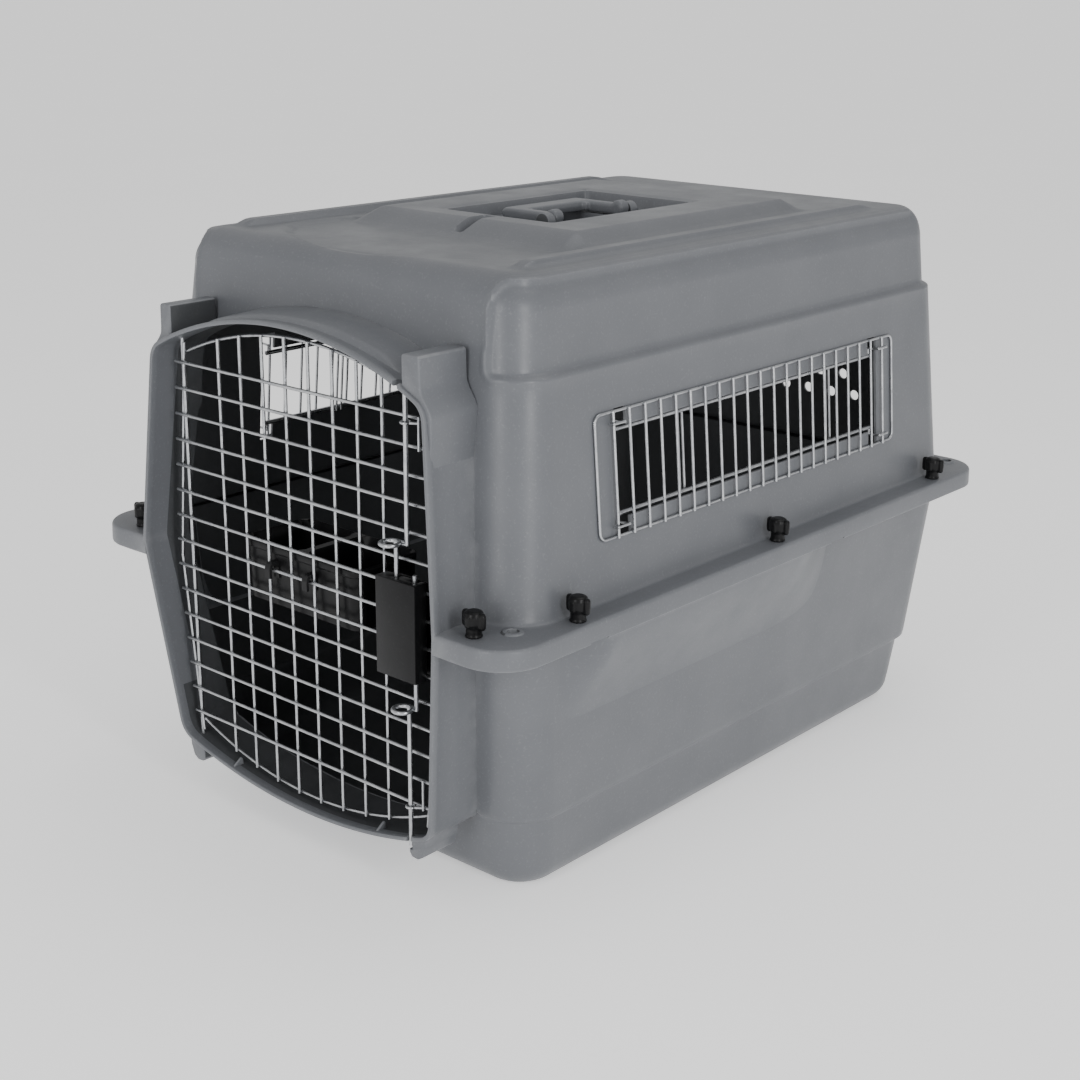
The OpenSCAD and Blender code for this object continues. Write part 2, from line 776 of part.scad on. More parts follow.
base_tub();
top_cover();
carry_handle();
door_mesh();
hinge_rod();
latch_housing();
latch_back_plate();
upper_latch_rod();
lower_latch_rod();
upper_latch_spring();
lower_latch_spring();
window_grille_right();
window_grille_left();
window_clip_right();
window_clip_left();
rim_bolts();
wing_nut_front_right();
wing_nut_front_left();
wing_nut_right_1();
wing_nut_right_2();
wing_nut_right_3();
wing_nut_left_1();
wing_nut_left_2();
wing_nut_left_3();
twin_bowl();
blank_label();
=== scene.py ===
"""Looks for the pet carrier: moulded shells, wires, latch, nuts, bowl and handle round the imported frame."""
import math
import random

import bmesh
import bpy
from mathutils import Matrix, Vector


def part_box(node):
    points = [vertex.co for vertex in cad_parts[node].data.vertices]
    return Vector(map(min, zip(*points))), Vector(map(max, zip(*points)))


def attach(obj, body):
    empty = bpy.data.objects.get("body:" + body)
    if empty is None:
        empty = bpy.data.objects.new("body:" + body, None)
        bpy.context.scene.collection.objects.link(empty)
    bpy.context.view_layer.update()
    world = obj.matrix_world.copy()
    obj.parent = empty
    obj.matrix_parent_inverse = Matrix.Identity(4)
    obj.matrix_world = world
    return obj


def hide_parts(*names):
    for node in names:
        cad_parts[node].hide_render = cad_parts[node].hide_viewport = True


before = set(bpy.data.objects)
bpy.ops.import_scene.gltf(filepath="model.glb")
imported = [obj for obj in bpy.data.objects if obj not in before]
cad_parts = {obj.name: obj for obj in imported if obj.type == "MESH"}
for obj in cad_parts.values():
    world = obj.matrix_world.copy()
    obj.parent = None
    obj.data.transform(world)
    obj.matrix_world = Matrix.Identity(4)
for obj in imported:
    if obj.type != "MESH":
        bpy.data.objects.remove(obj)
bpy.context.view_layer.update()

MM = 0.001
WALL = 3.0                       # shell thickness, mm

# Driving sizes, in mm, read from the frame where it has them
rim_lo, rim_hi = (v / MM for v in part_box("top_cover"))
RIM_X = rim_hi.x
RIM_Y = rim_hi.y
RIM_Z = 283.0
SKIRT_Z = rim_lo.z
SPLIT_Z = RIM_Z - 4.0
RIM_R = 45.0
PLATFORM_Z = rim_hi.z
ROOF_Z = PLATFORM_Z - 12.0
CREASE_Z = 493.0                 # shoulder crease on the cover
EDGE_R = 34.0                    # roof edge fillet
PANEL_IN = 6.5                   # how far the shoulder panel is set in
PANEL_RUN = 194.0                # way round the plan to that panel's front edge
TUB_CREASE_Z = 76.0
DOOR_MIDDLE = Vector((0.0, 280.0))     # middle of the doorway, (x, z)
DOOR_REAR = -379.0               # just behind the door's wires
WALL_END_Y = -318.0              # the doorway is cut only in front of this

# ---------------------------------------------------------------- small helpers
def smooth(t):
    """Eases 0..1, flat at both ends."""
    t = min(max(t, 0.0), 1.0)
    return t * t * (3 - 2 * t)


def mix(a, b, t):
    return a + (b - a) * t


def lines(low, high, step, marks=(), fine=2.0, reach=2):
    """Positions from low to high every step, with finer ones round each mark."""
    extra = sorted({round(m + k * fine, 3) for m in marks for k in range(-reach, reach + 1)
                    if low < m + k * fine < high})
    count = max(1, round((high - low) / step))
    base = [low + (high - low) * i / count for i in range(count + 1)]
    keep = [b for b in base if all(abs(b - e) > 0.8 * fine for e in extra)]
    merged = sorted(set(keep + extra + [low, high]))
    return [p for i, p in enumerate(merged) if i == 0 or p - merged[i - 1] > 0.3]


def new_object(name, bm):
    mesh = bpy.data.meshes.new(name)
    bm.to_mesh(mesh)
    bm.free()
    obj = bpy.data.objects.new(name, mesh)
    bpy.context.scene.collection.objects.link(obj)
    for polygon in mesh.polygons:
        polygon.use_smooth = True
    return obj


def apply_modifiers(obj):
    depsgraph = bpy.context.evaluated_depsgraph_get()
    mesh = bpy.data.meshes.new_from_object(obj.evaluated_get(depsgraph))
    old = obj.data
    obj.modifiers.clear()
    obj.data = mesh
    bpy.data.meshes.remove(old)
    return obj


def cut(obj, cutters):
    """Takes each cutter out of obj and deletes it."""
    for cutter in cutters:
        mod = obj.modifiers.new("cut", "BOOLEAN")
        mod.operation = "DIFFERENCE"
        mod.solver = "EXACT"
        mod.object = cutter
    apply_modifiers(obj)
    for cutter in cutters:
        bpy.data.objects.remove(cutter)
    return obj


def join(name, objects):
    """Joins closed meshes into one object, keeping their material slots."""
    with bpy.context.temp_override(active_object=objects[0], object=objects[0],
                                   selected_objects=objects, selected_editable_objects=objects):
        bpy.ops.object.join()
    objects[0].name = name
    return objects[0]


def shade_by_angle(obj, degrees):
    """Smooth shading that stays sharp across edges over the angle."""
    mesh = obj.data
    bm = bmesh.new()
    bm.from_mesh(mesh)
    limit = math.radians(degrees)
    for edge in bm.edges:
        edge.smooth = len(edge.link_faces) == 2 and edge.calc_face_angle(0.0) < limit
    bm.to_mesh(mesh)
    bm.free()
    return obj


def bridge(bm, loops):
    """Faces between neighbouring closed loops of the same count."""
    for a, b in zip(loops, loops[1:]):
        for k in range(len(a)):
            m = (k + 1) % len(a)
            bm.faces.new((a[k], a[m], b[m], b[k]))


def prism(near, far):
    """Closed solid between two matching loops of points."""
    bm = bmesh.new()
    a = [bm.verts.new(p) for p in near]
    b = [bm.verts.new(p) for p in far]
    bm.faces.new(a)
    bm.faces.new(list(reversed(b)))
    for k in range(len(a)):
        m = (k + 1) % len(a)
        bm.faces.new((a[k], b[k], b[m], a[m]))
    bmesh.ops.recalc_face_normals(bm, faces=bm.faces)
    return bm


# ---------------------------------------------------------------- lofted shells
ARC = 12                         # steps from a plan corner's middle to its end
FILL = 3                         # steps between a corner and the first fixed line


def edge_run(low, high, r, marks):
    """(position, depth) along one side of a rounded rectangle, corner middle to corner middle."""
    start = [(low + r - r * math.sin(a), r - r * math.cos(a))
             for a in (math.radians(45) * (1 - k / ARC) for k in range(ARC + 1))]
    end = [(high + low - p, d) for p, d in reversed(start)]
    first, last = marks[0], marks[-1]
    fill_a = [(mix(low + r, first, k / FILL), 0.0) for k in range(1, FILL)]
    fill_b = [(mix(last, high - r, k / FILL), 0.0) for k in range(1, FILL)]
    return start + fill_a + [(m, 0.0) for m in marks] + fill_b + end


def square_run(low, high, r, marks):
    """As edge_run, but for a square corner, so that a grid can fill the inside."""
    start = [(low + r * k / ARC, 0.0) for k in range(ARC + 1)]
    end = [(high + low - p, 0.0) for p, d in reversed(start)]
    fill_a = [(mix(low + r, marks[0], k / FILL), 0.0) for k in range(1, FILL)]
    fill_b = [(mix(marks[-1], high - r, k / FILL), 0.0) for k in range(1, FILL)]
    return start + fill_a + [(m, 0.0) for m in marks] + fill_b + end


def plan_ring(plan, x_marks, y_marks, run=edge_run):
    """Points and outward directions round a plan (half width, front y, rear y, corner radius)."""
    half, front, rear, r = plan
    across = run(-half, half, r, x_marks)
    along = run(front, rear, r, y_marks)
    points = [(p, front + d) for p, d in across[:-1]]
    points += [(half - d, p) for p, d in along[:-1]]
    points += [(p, rear - d) for p, d in reversed(across[1:])]
    points += [(-half + d, p) for p, d in reversed(along[1:])]
    normals = []
    for x, y in points:
        cx = max(abs(x) - (half - r), 0.0) * (1 if x > 0 else -1)
        cy = min(y - (front + r), 0.0) + max(y - (rear - r), 0.0)
        n = Vector((cx, cy))
        if n.length < 1e-6:
            n = Vector((0, 1))
        normals.append(n.normalized())
    return points, normals


def loft_shell(name, rings, cap, x_marks, y_marks, move=None, cap_height=None):
    """Skin through rings of (z, tilt, plan) closed by a grid over the cap plan.

    tilt is how far the surface has turned from upright (0) to level (90), and the
    move function returns how far a point (x, y, z, tilt) stands out along its normal.
    """
    bm = bmesh.new()
    loops = []
    for z, tilt, plan in rings:
        points, normals = plan_ring(plan, x_marks, y_marks)
        c, s = math.cos(math.radians(tilt)), math.sin(math.radians(tilt))
        loop = []
        for (x, y), n in zip(points, normals):
            d = move(x, y, z, tilt, n) if move else 0.0
            loop.append(bm.verts.new((x + n.x * c * d, y + n.y * c * d, z + s * d)))
        loops.append(loop)
    cap_z, cap_plan = cap
    points, _ = plan_ring(cap_plan, x_marks, y_marks, square_run)
    height = cap_height or (lambda x, y: cap_z)
    loops.append([bm.verts.new((x, y, height(x, y))) for x, y in points])
    bridge(bm, loops)
    half, front, rear, r = cap_plan
    xs = [p for p, d in square_run(-half, half, r, x_marks)]
    ys = [p for p, d in square_run(front, rear, r, y_marks)]
    nx, ny = len(xs) - 1, len(ys) - 1
    border = loops[-1]

    def corner(i, j):
        if j == 0:
            return border[i % len(border)]
        if i == nx:
            return border[nx + j]
        if j == ny:
            return border[nx + ny + (nx - i)]
        return border[(2 * nx + ny + (ny - j)) % len(border)]

    grid = [[corner(i, j) if i in (0, nx) or j in (0, ny) else
             bm.verts.new((xs[i], ys[j], height(xs[i], ys[j])))
             for j in range(ny + 1)] for i in range(nx + 1)]
    for i in range(nx):
        for j in range(ny):
            bm.faces.new((grid[i][j], grid[i + 1][j], grid[i + 1][j + 1], grid[i][j + 1]))
    bmesh.ops.recalc_face_normals(bm, faces=bm.faces)
    lid = grid[nx // 2][ny // 2].link_faces[0]
    if lid.normal.z * (1 if cap_z > rings[0][0] else -1) < 0:
        bmesh.ops.reverse_faces(bm, faces=bm.faces)
    return name, bm


def carve(bm, inside, snap=None):
    """Deletes the faces whose middle is inside, and snaps the hole's edge onto a curve."""
    before = {e for e in bm.edges if e.is_boundary}
    doomed = [f for f in bm.faces if inside(f.calc_center_median())]
    bmesh.ops.delete(bm, geom=doomed, context="FACES")
    if snap:
        edge = {v for e in bm.edges if e.is_boundary and e not in before for v in e.verts}
        for v in edge:
            target = snap(v.co)
            if target is not None:
                v.co = target


def thicken(obj, thickness, inner_material=1):
    mod = obj.modifiers.new("wall", "SOLIDIFY")
    mod.thickness = thickness
    mod.offset = -1.0
    # With inner_material 1 the inner side takes the next slot, which on the cover and tub holds the painted
    # shade.
    mod.material_offset = inner_material
    apply_modifiers(obj)


def scale_to_metres(obj):
    obj.data.transform(Matrix.Scale(MM, 4))
    return obj


# ---------------------------------------------------------------- upper shell
FRONT_TOP = -361.4               # front wall at the rim
FRONT_LEAN = 0.097               # how far it leans back for each mm of height
REAR_TOP = 384.0
HALF_TOP = 255.6


def cover_plan(z):
    """Plan of the cover's wall at height z, before the roof fillet."""
    up = z - RIM_Z
    return (HALF_TOP - 0.09 * up, FRONT_TOP + FRONT_LEAN * up, REAR_TOP - 0.065 * up, RIM_R)


def inset_plan(plan, inset, least=11.0):
    half, front, rear, r = plan
    return (half - inset, front + inset, rear - inset, max(r - inset, least))


def mix_plan(a, b, t):
    return tuple(mix(p, q, t) for p, q in zip(a, b))


def rounded_gap(h, x, y, z):
    """Distance inside the shoulder panel's outline, in mm (negative outside)."""
    height = EDGE_R * math.radians(62) + (ROOF_Z - EDGE_R - CREASE_Z)
    ahead = abs(x) + y - (FRONT_TOP + FRONT_LEAN * (z - RIM_Z)) - PANEL_RUN
    best = min(h, height - h, ahead)
    for r, dh in ((12.0, h), (34.0, height - h)):
        if dh < r and ahead < r:
            best = min(best, r - math.hypot(r - dh, r - ahead))
    return best


def arc_height(z, tilt):
    """Distance up the cover's outside from the shoulder crease."""
    if tilt <= 4:
        return z - CREASE_Z
    return (ROOF_Z - EDGE_R - CREASE_Z) + EDGE_R * math.radians(tilt)


def brow(x, y):
    """Soft-edged facet pressed into the front of the roof."""
    r = math.hypot(x / 168.0, (y + 205.0) / 112.0)
    return -2.8 * smooth((1.0 - r) * 20.0) if y < -150 else 0.0


def cover_move(x, y, z, tilt, n):
    """How far the cover stands out of its plain loft: shoulder panel, brow and beads."""
    d = 0.0
    if z > CREASE_Z - 8:
        h = arc_height(z, tilt)
        inside = rounded_gap(h, x, y, z)
        behind = abs(x) + y - FRONT_TOP - PANEL_RUN
        deep = mix(2.6, PANEL_IN, smooth((behind - 20.0) / 90.0))
        ridge = 1.1 * smooth((5.5 - abs(inside)) / 4.5) if tilt < 89 else 0.0
        side = ridge - deep * smooth(inside / 6.0)
        back = -PANEL_IN * smooth(h / 5.0) * (1 - smooth((tilt - 10) / 75))
        d += mix(side, back, smooth(n.y * 2.5))
    if tilt > 20 and y < 0:
        d += brow(x, y)
    if tilt > 30:
        d += bead(x, y) * math.sin(math.radians(tilt))
    return d


def bead(x, y):
    """Long raised bead along each side of the roof."""
    run = smooth((y + 296.0) / 24.0) * smooth((292.0 - y) / 36.0)
    across = smooth((12.0 - abs(abs(x) - 184.0)) / 7.0)
    return 6.0 * run * across


PLATFORM_X, PLATFORM_FRONT, PLATFORM_REAR = 129.0, -143.0, 196.0
SLOPE_X, SLOPE_FRONT, SLOPE_REAR = 20.0, 40.0, 24.0
WELL_X, WELL_Y, WELL_Z = 72.0, 112.0, ROOF_Z - 2.0
POCKET_X, POCKET_Z = 50.0, 552.0
POCKETS = ((0.0, 46.0), (-91.0, 14.0), (91.0, 14.0))
GROOVE_Y = (-173.0, -122.0)


def box_depth(x, y, half_x, low_y, high_y, r):
    """Distance inside a rounded rectangle on the roof."""
    dx = half_x - abs(x)
    dy = min(y - low_y, high_y - y)
    if dx < r and dy < r:
        return r - math.hypot(r - dx, r - dy)
    return min(dx, dy)


def roof_height(x, y):
    """Height of the roof: platform, beads, finger groove, handle well and its pockets."""
    out_x = max(abs(x) - PLATFORM_X, 0.0) / SLOPE_X
    out_y = max(PLATFORM_FRONT - y, 0.0) / SLOPE_FRONT + max(y - PLATFORM_REAR, 0.0) / SLOPE_REAR
    away = (out_x ** 3 + out_y ** 3) ** (1 / 3)
    ramp = min(max(1.0 - away, 0.0), 1.0)
    ramp = mix(ramp, smooth(ramp), 0.45)
    z = ROOF_Z + (PLATFORM_Z - ROOF_Z) * ramp
    z += bead(x, y) + brow(x, y) * (1 - ramp)
    lip = box_depth(x, y, WELL_X + 7, -WELL_Y - 7, WELL_Y + 7, 8.0)
    z -= 1.3 * smooth(lip / 3.0) * ramp
    groove_x = smooth((8.0 - abs(x)) / 3.0)
    groove_y = smooth((y - GROOVE_Y[0]) / 16.0) * smooth((GROOVE_Y[1] - y) / 3.5)
    z -= 8.0 * groove_x * groove_y
    z -= (PLATFORM_Z - 1.3 - WELL_Z) * smooth(box_depth(x, y, WELL_X, -WELL_Y, WELL_Y, 7.0) / 3.0)
    for middle, half in POCKETS:
        inside = box_depth(x, y - middle, POCKET_X, -half, half, 5.0)
        z -= (WELL_Z - POCKET_Z) * smooth(inside / 2.6)
    return z


def tunnel_half(z):
    """Half width of the door surround's outside at height z."""
    if z > SPLIT_Z:
        return mix(203.0, 184.0, (z - SPLIT_Z) / 201.0)
    return mix(181.0, 203.0, (z - 90.0) / 189.0)


def mouth_y(z):
    """Front edge of the door surround at height z."""
    if z > SPLIT_Z:
        return mix(-RIM_Y, -402.5, min((z - SPLIT_Z) / 230.0, 1.0))
    return mix(-393.0, -RIM_Y, (z - 40.0) / (SPLIT_Z - 40.0))


ARCH_R, ARCH_TOP = 400.0, 522.0
SILL_R, SILL_LOW = 546.0, 41.0


def arch_line(side, steps=22, corner_r=24.0):
    """Outline of the door surround over (side 1) or under (side -1) the split, left to right."""
    centre = ARCH_TOP - ARCH_R if side > 0 else SILL_LOW + SILL_R
    radius = ARCH_R if side > 0 else SILL_R
    x = 180.0 if side > 0 else 170.0
    for _ in range(30):
        z = centre + side * math.sqrt(radius * radius - x * x)
        x = tunnel_half(z)
    corner = Vector((x, z))
    down = (Vector((tunnel_half(z - side * 40), z - side * 40)) - corner).normalized()
    slope = (Vector((x - 30, centre + side * math.sqrt(radius ** 2 - (x - 30) ** 2))) - corner).normalized()
    half_angle = down.angle(slope) / 2
    reach = corner_r / math.tan(half_angle)
    a, b = corner + down * reach, corner + slope * reach
    bend = []
    for k in range(9):
        t = k / 8
        bend.append(a * (1 - t) ** 2 + corner * 2 * t * (1 - t) + b * t * t)
    rise = [Vector((tunnel_half(mix(SPLIT_Z, a.y, k / steps)), mix(SPLIT_Z, a.y, k / steps)))
            for k in range(steps)]
    top = []
    for k in range(1, 2 * steps):
        px = mix(b.x, -b.x, k / (2 * steps))
        top.append(Vector((px, centre + side * math.sqrt(radius ** 2 - px * px))))
    right = rise + bend
    left = [Vector((-p.x, p.y)) for p in reversed(right)]
    return left, top, right


def full_outline():
    """Whole door outline as one closed loop of (x, z)."""
    loop = []
    for side in (1, -1):
        left, top, right = arch_line(side)
        run = right + top + left
        loop += run if side > 0 else list(reversed(run))[1:-1]
    return loop


OUTLINE = full_outline()


def inside_outline(x, z, inset):
    """True inside the door outline shrunk by inset."""
    hit = False
    count = len(OUTLINE)
    for k in range(count):
        a, b = OUTLINE[k], OUTLINE[(k + 1) % count]
        if (a.y > z) != (b.y > z) and x < a.x + (z - a.y) / (b.y - a.y) * (b.x - a.x):
            hit = not hit
    if not hit:
        return False
    return nearest(x, z)[1] > inset


def nearest(x, z):
    """Nearest point of the outline and its distance."""
    p = Vector((x, z))
    best, gap = None, 1e9
    count = len(OUTLINE)
    for k in range(count):
        a, b = OUTLINE[k], OUTLINE[(k + 1) % count]
        ab = b - a
        t = min(max((p - a).dot(ab) / max(ab.length_squared, 1e-9), 0.0), 1.0)
        q = a + ab * t
        if (q - p).length < gap:
            best, gap = q, (q - p).length
    return best, gap


def doorway(co):
    return co.y < WALL_END_Y and inside_outline(co.x, co.z, WALL / 2)


def to_outline(co):
    if co.y > WALL_END_Y:
        return None
    q, gap = nearest(co.x, co.z)
    if gap > 12:
        return None
    q = q + (DOOR_MIDDLE - q).normalized() * WALL / 2
    return Vector((q.x, co.y, q.y))


WINDOW_Y, WINDOW_Z = 2.0, 395.0
WINDOW_L, WINDOW_H, SLOT = 223.0, 42.0, 17.0
WINDOW_MARKS_Y = [WINDOW_Y + s * v for s in (-1, 1) for v in (WINDOW_L, WINDOW_L - SLOT)]
WINDOW_MARKS_Z = [WINDOW_Z + s * v for s in (-1, 1) for v in (WINDOW_H, WINDOW_H + SLOT)]


def in_window(co):
    if abs(co.x) < 225 or co.z < 320 or co.z > 470:
        return False
    y, z = abs(co.y - WINDOW_Y), abs(co.z - WINDOW_Z)
    tall = WINDOW_H + (SLOT if y > WINDOW_L - SLOT else 0.0)
    return y < WINDOW_L and z < tall


COVER_X = lines(-185, 185, 6, fine=1.5,
                marks=[side * x for side in (-1, 1) for x in (8, 50, 72, 104, 129, 172, 184)])
COVER_Y = lines(-289, 319, 6, marks=[-286, -183, -173, -143, -122, -112, -105, -91, -77, -46, 46, 77, 91,
                                     105, 112, 196, 223] + WINDOW_MARKS_Y, fine=1.5, reach=1)


def cover_rings():
    """Rings of the cover's outside, from the skirt's lower edge to the roof."""
    rim = (RIM_X, -RIM_Y, RIM_Y, RIM_R)
    rings = [(SKIRT_Z, 0, inset_plan(rim, 0.9)), (SKIRT_Z + 0.8, 0, inset_plan(rim, 0.15)),
             (SKIRT_Z + 3, 0, rim), (RIM_Z - 3.2, 0, inset_plan(rim, 0.35))]
    thirds = [math.radians(d) for d in (30, 60, 90)]
    rings += [(RIM_Z - 3.2 + 3.2 * math.sin(a), math.degrees(a),
               inset_plan(rim, 0.35 + 3.2 * (1 - math.cos(a)))) for a in thirds]
    wall, edge = cover_plan(RIM_Z), inset_plan(rim, 3.55)
    rings += [(RIM_Z, 90, mix_plan(edge, inset_plan(wall, -5, RIM_R), t)) for t in (0.3, 0.6, 0.88, 1.0)]
    rings += [(RIM_Z + 5 * (1 - math.cos(a)), 0,
               inset_plan(wall, -5 * (1 - math.sin(a)), RIM_R)) for a in thirds]
    heights = lines(RIM_Z + 8, CREASE_Z - 3, 9, marks=WINDOW_MARKS_Z, fine=1.5, reach=1)
    heights += [CREASE_Z + d for d in (-1.5, 0, 1.2, 2.4, 3.6, 4.8, 6.2)]
    heights += lines(CREASE_Z + 10, ROOF_Z - EDGE_R, 6)
    rings += [(z, 0, cover_plan(z)) for z in heights]
    top = cover_plan(ROOF_Z - EDGE_R)
    for k in range(1, 19):
        a = math.radians(5 * k)
        rings.append((ROOF_Z - EDGE_R * (1 - math.sin(a)), math.degrees(a),
                      inset_plan(top, EDGE_R * (1 - math.cos(a)))))
    return rings, (ROOF_Z, (top[0] - EDGE_R - 5, top[1] + EDGE_R + 5, top[2] - EDGE_R - 5, 6.0))


def build_cover(plastic, shade_paint):
    rings, cap = cover_rings()
    name, bm = loft_shell("cover_skin", rings, cap, COVER_X, COVER_Y, cover_move, roof_height)
    carve(bm, doorway, to_outline)
    carve(bm, in_window)
    skin = new_object(name, bm)
    skin.data.materials.append(plastic)
    # Second slot, for the wall's inner side: painted shade.
    skin.data.materials.append(shade_paint)
    thicken(skin, WALL)
    return skin


# ---------------------------------------------------------------- door surround
def lip_profile(front, rear):
    """(y, outward offset) round the surround's wall, from rear outside to rear inside."""
    middle = mix(rear, front, 0.5)
    return [(rear, 0.0), (middle, 0.0), (front + 10, 0.0), (front + 7.5, 0.9), (front + 2.0, 1.1),
            (front + 0.5, 0.6), (front, -0.5), (front, -2.1), (front + 0.6, -3.1), (front + 2.2, -3.5),
            (front + 7.5, -3.4), (front + 10, -WALL), (middle, -WALL), (rear, -WALL)]


def wall_front(z):
    """Front face of the shells at height z."""
    if z > SPLIT_Z:
        return FRONT_TOP + FRONT_LEAN * (z - RIM_Z)
    return FRONT_TOP + 0.13 * (RIM_Z - z)


def outward(behind, p, ahead):
    """Direction square to the outline at p, away from the doorway's middle."""
    along = (ahead - behind).normalized()
    out = Vector((along.y, -along.x))
    return -out if out.dot(p - DOOR_MIDDLE) < 0 else out


def sweep_outline(name, points, profile_at):
    """Solid that follows points (x, z) with a closed profile of (y, offset) at each."""
    bm = bmesh.new()
    loops = []
    for k, p in enumerate(points):
        out = outward(points[max(k - 1, 0)], p, points[min(k + 1, len(points) - 1)])
        loops.append([bm.verts.new((p.x + out.x * off, y, p.y + out.y * off))
                      for y, off in profile_at(p, k / (len(points) - 1))])
    bridge(bm, loops)
    bm.faces.new(loops[0])
    bm.faces.new(list(reversed(loops[-1])))
    bmesh.ops.recalc_face_normals(bm, faces=bm.faces)
    return new_object(name, bm)


def surround(name, side):
    left, top, right = arch_line(side)
    points = right + top + left
    return sweep_outline(name, points, lambda p, t: lip_profile(mouth_y(p.y), wall_front(p.y) + 2.5))


def paint_inside_shade(obj, shade_paint):
    """Gives the faces that look inwards, behind the door, a darker material: painted shade for the unlit
    cabin.
    """
    obj.data.materials.append(shade_paint)
    for face in obj.data.polygons:
        spot, n = face.center, face.normal
        if spot.y > DOOR_REAR and n.x * spot.x + n.z * (spot.z - DOOR_MIDDLE.y) < 0:
            face.material_index = 1


def brow_band():
    """Raised arch between the surround's top and the front wall."""
    _, top, _ = arch_line(1)
    points = [p for p in top if abs(p.x) < 150]

    def profile(p, t):
        rise = smooth(min(t, 1 - t) * 7.0)
        front = -386.0
        rear = wall_front(p.y) + 2.5
        high = 4.4 * rise - 0.8
        return [(front - 2, -0.8), (front, high * 0.35), (front + 4, high * 0.85), (front + 9, high),
                (mix(front, rear, 0.6), high + 0.5 * rise), (rear, high + 1.6 * rise),
                (rear, -1.5), (front - 2, -1.5)]
    return sweep_outline("brow_band", points, profile)


def prism_y(name, outline, front, rear, bevel=2.0, segments=3):
    """Outline (x, z) pulled from front to rear along Y, with rounded edges."""
    bm = prism([(x, front, z) for x, z in outline], [(x, rear, z) for x, z in outline])
    bmesh.ops.bevel(bm, geom=bm.edges[:] + bm.verts[:], offset=bevel, segments=segments,
                    profile=0.5, affect="EDGES", clamp_overlap=True)
    return new_object(name, bm)


SOCKET_IN = 156.0                # inner side of the upper socket blocks
UPPER_NOTCH, UPPER_BORE, LOWER_BORE = (440, 503), (440, 501), (53, 100)
ROD_X, ROD_Y = 150.5, -391.0
HINGE_X, HINGE_Y = -165.0, -380.2


def upper_socket(side):
    """Narrow block over the surround's corner that flares into its side and dies away below."""
    inner, outer, front = (SOCKET_IN, 177.0, -400.8) if side > 0 else (158.0, 173.0, -398.5)
    outline = [(inner, 468), (inner, 517), (inner + 2, 519), (outer - 2, 519), (outer, 517),
               (outer + 0.6, 496)]
    outline += [(mix(outer + 0.6, 190.5, smooth(k / 9)), 494 - 3.0 * k) for k in range(1, 10)]
    outline += [(mix(190.5, tunnel_half(404) - 2.4, smooth(k / 12)), 467 - 5.2 * k) for k in range(1, 13)]
    outline += [(174, 404.6), (174, 468)]
    return prism_y("upper_socket", [(side * x, z) for x, z in outline], front, -343.0, bevel=1.4)


def lower_socket(side):
    """Small foot under the surround's corner."""
    outline = [(149, 84), (149, 50), (152, 45.5), (160, 45), (166, 49), (170, 60), (173, 84)]
    return prism_y("lower_socket", [(side * x, z) for x, z in outline], -392.6, -350.0, bevel=1.2, segments=2)


def doorway_cutter(inset):
    """Solid of the doorway, set in from the outline, to open the socket blocks."""
    loop = []
    for k, p in enumerate(OUTLINE):
        loop.append(p - outward(OUTLINE[k - 1], p, OUTLINE[(k + 1) % len(OUTLINE)]) * inset)
    near, far = ([(p.x, y, p.y) for p in loop] for y in (-430.0, -300.0))
    return new_object("doorway_cutter", prism(near, far))


def notch_cutter(low, high):
    """Slot open to the front that lets a latch rod swing clear."""
    r = 2.8
    outline = [(ROD_X + r * math.cos(a), ROD_Y + r * math.sin(a))
               for a in (math.radians(180 * k / 12) for k in range(13))]
    outline += [(ROD_X - r, ROD_Y - 40), (ROD_X + r, ROD_Y - 40)]
    near, far = ([(x, y, z) for x, y in outline] for z in (low, high))
    return new_object("notch_cutter", prism(near, far))


def bore_cutter(low, high):
    bm = bmesh.new()
    bmesh.ops.create_cone(bm, segments=32, radius1=2.05, radius2=2.05, depth=high - low, cap_ends=True)
    bmesh.ops.translate(bm, verts=bm.verts, vec=(HINGE_X, HINGE_Y, (low + high) / 2))
    return new_object("bore_cutter", bm)


def gusset(x):
    """Small fin that stands on the sill, square to the doorway."""
    z = SILL_LOW + SILL_R - math.sqrt(SILL_R ** 2 - x * x) + WALL
    outline = ((-393, z - 1), (-379, z - 1), (-380, z + 6.4), (-381.5, z + 7.2))
    bm = prism([(x - 1.4, y, h) for y, h in outline], [(x + 1.4, y, h) for y, h in outline])
    bmesh.ops.bevel(bm, geom=bm.edges[:], offset=0.4, segments=2, profile=0.5, affect="EDGES")
    return new_object("gusset", bm)


# ---------------------------------------------------------------- lower shell
TUB_FOOT_R = 24.0
WEB_Y = (-275.0, 80.0)
WEB_LOW = 165.0
WEB_FADE = (34.0, 60.0)          # how far the web runs on past WEB_Y at each end


def tub_plan(z):
    """Plan of the tub's wall at height z."""
    if z < TUB_CREASE_Z:
        return mix_plan((229.0, -324.0, 357.0, RIM_R), (234.0, -332.0, 364.0, RIM_R),
                        (z - 22) / (TUB_CREASE_Z - 22))
    return mix_plan((237.5, -334.5, 373.0, RIM_R), (258.0, -361.0, REAR_TOP, RIM_R),
                    (z - TUB_CREASE_Z) / (SPLIT_Z - TUB_CREASE_Z))


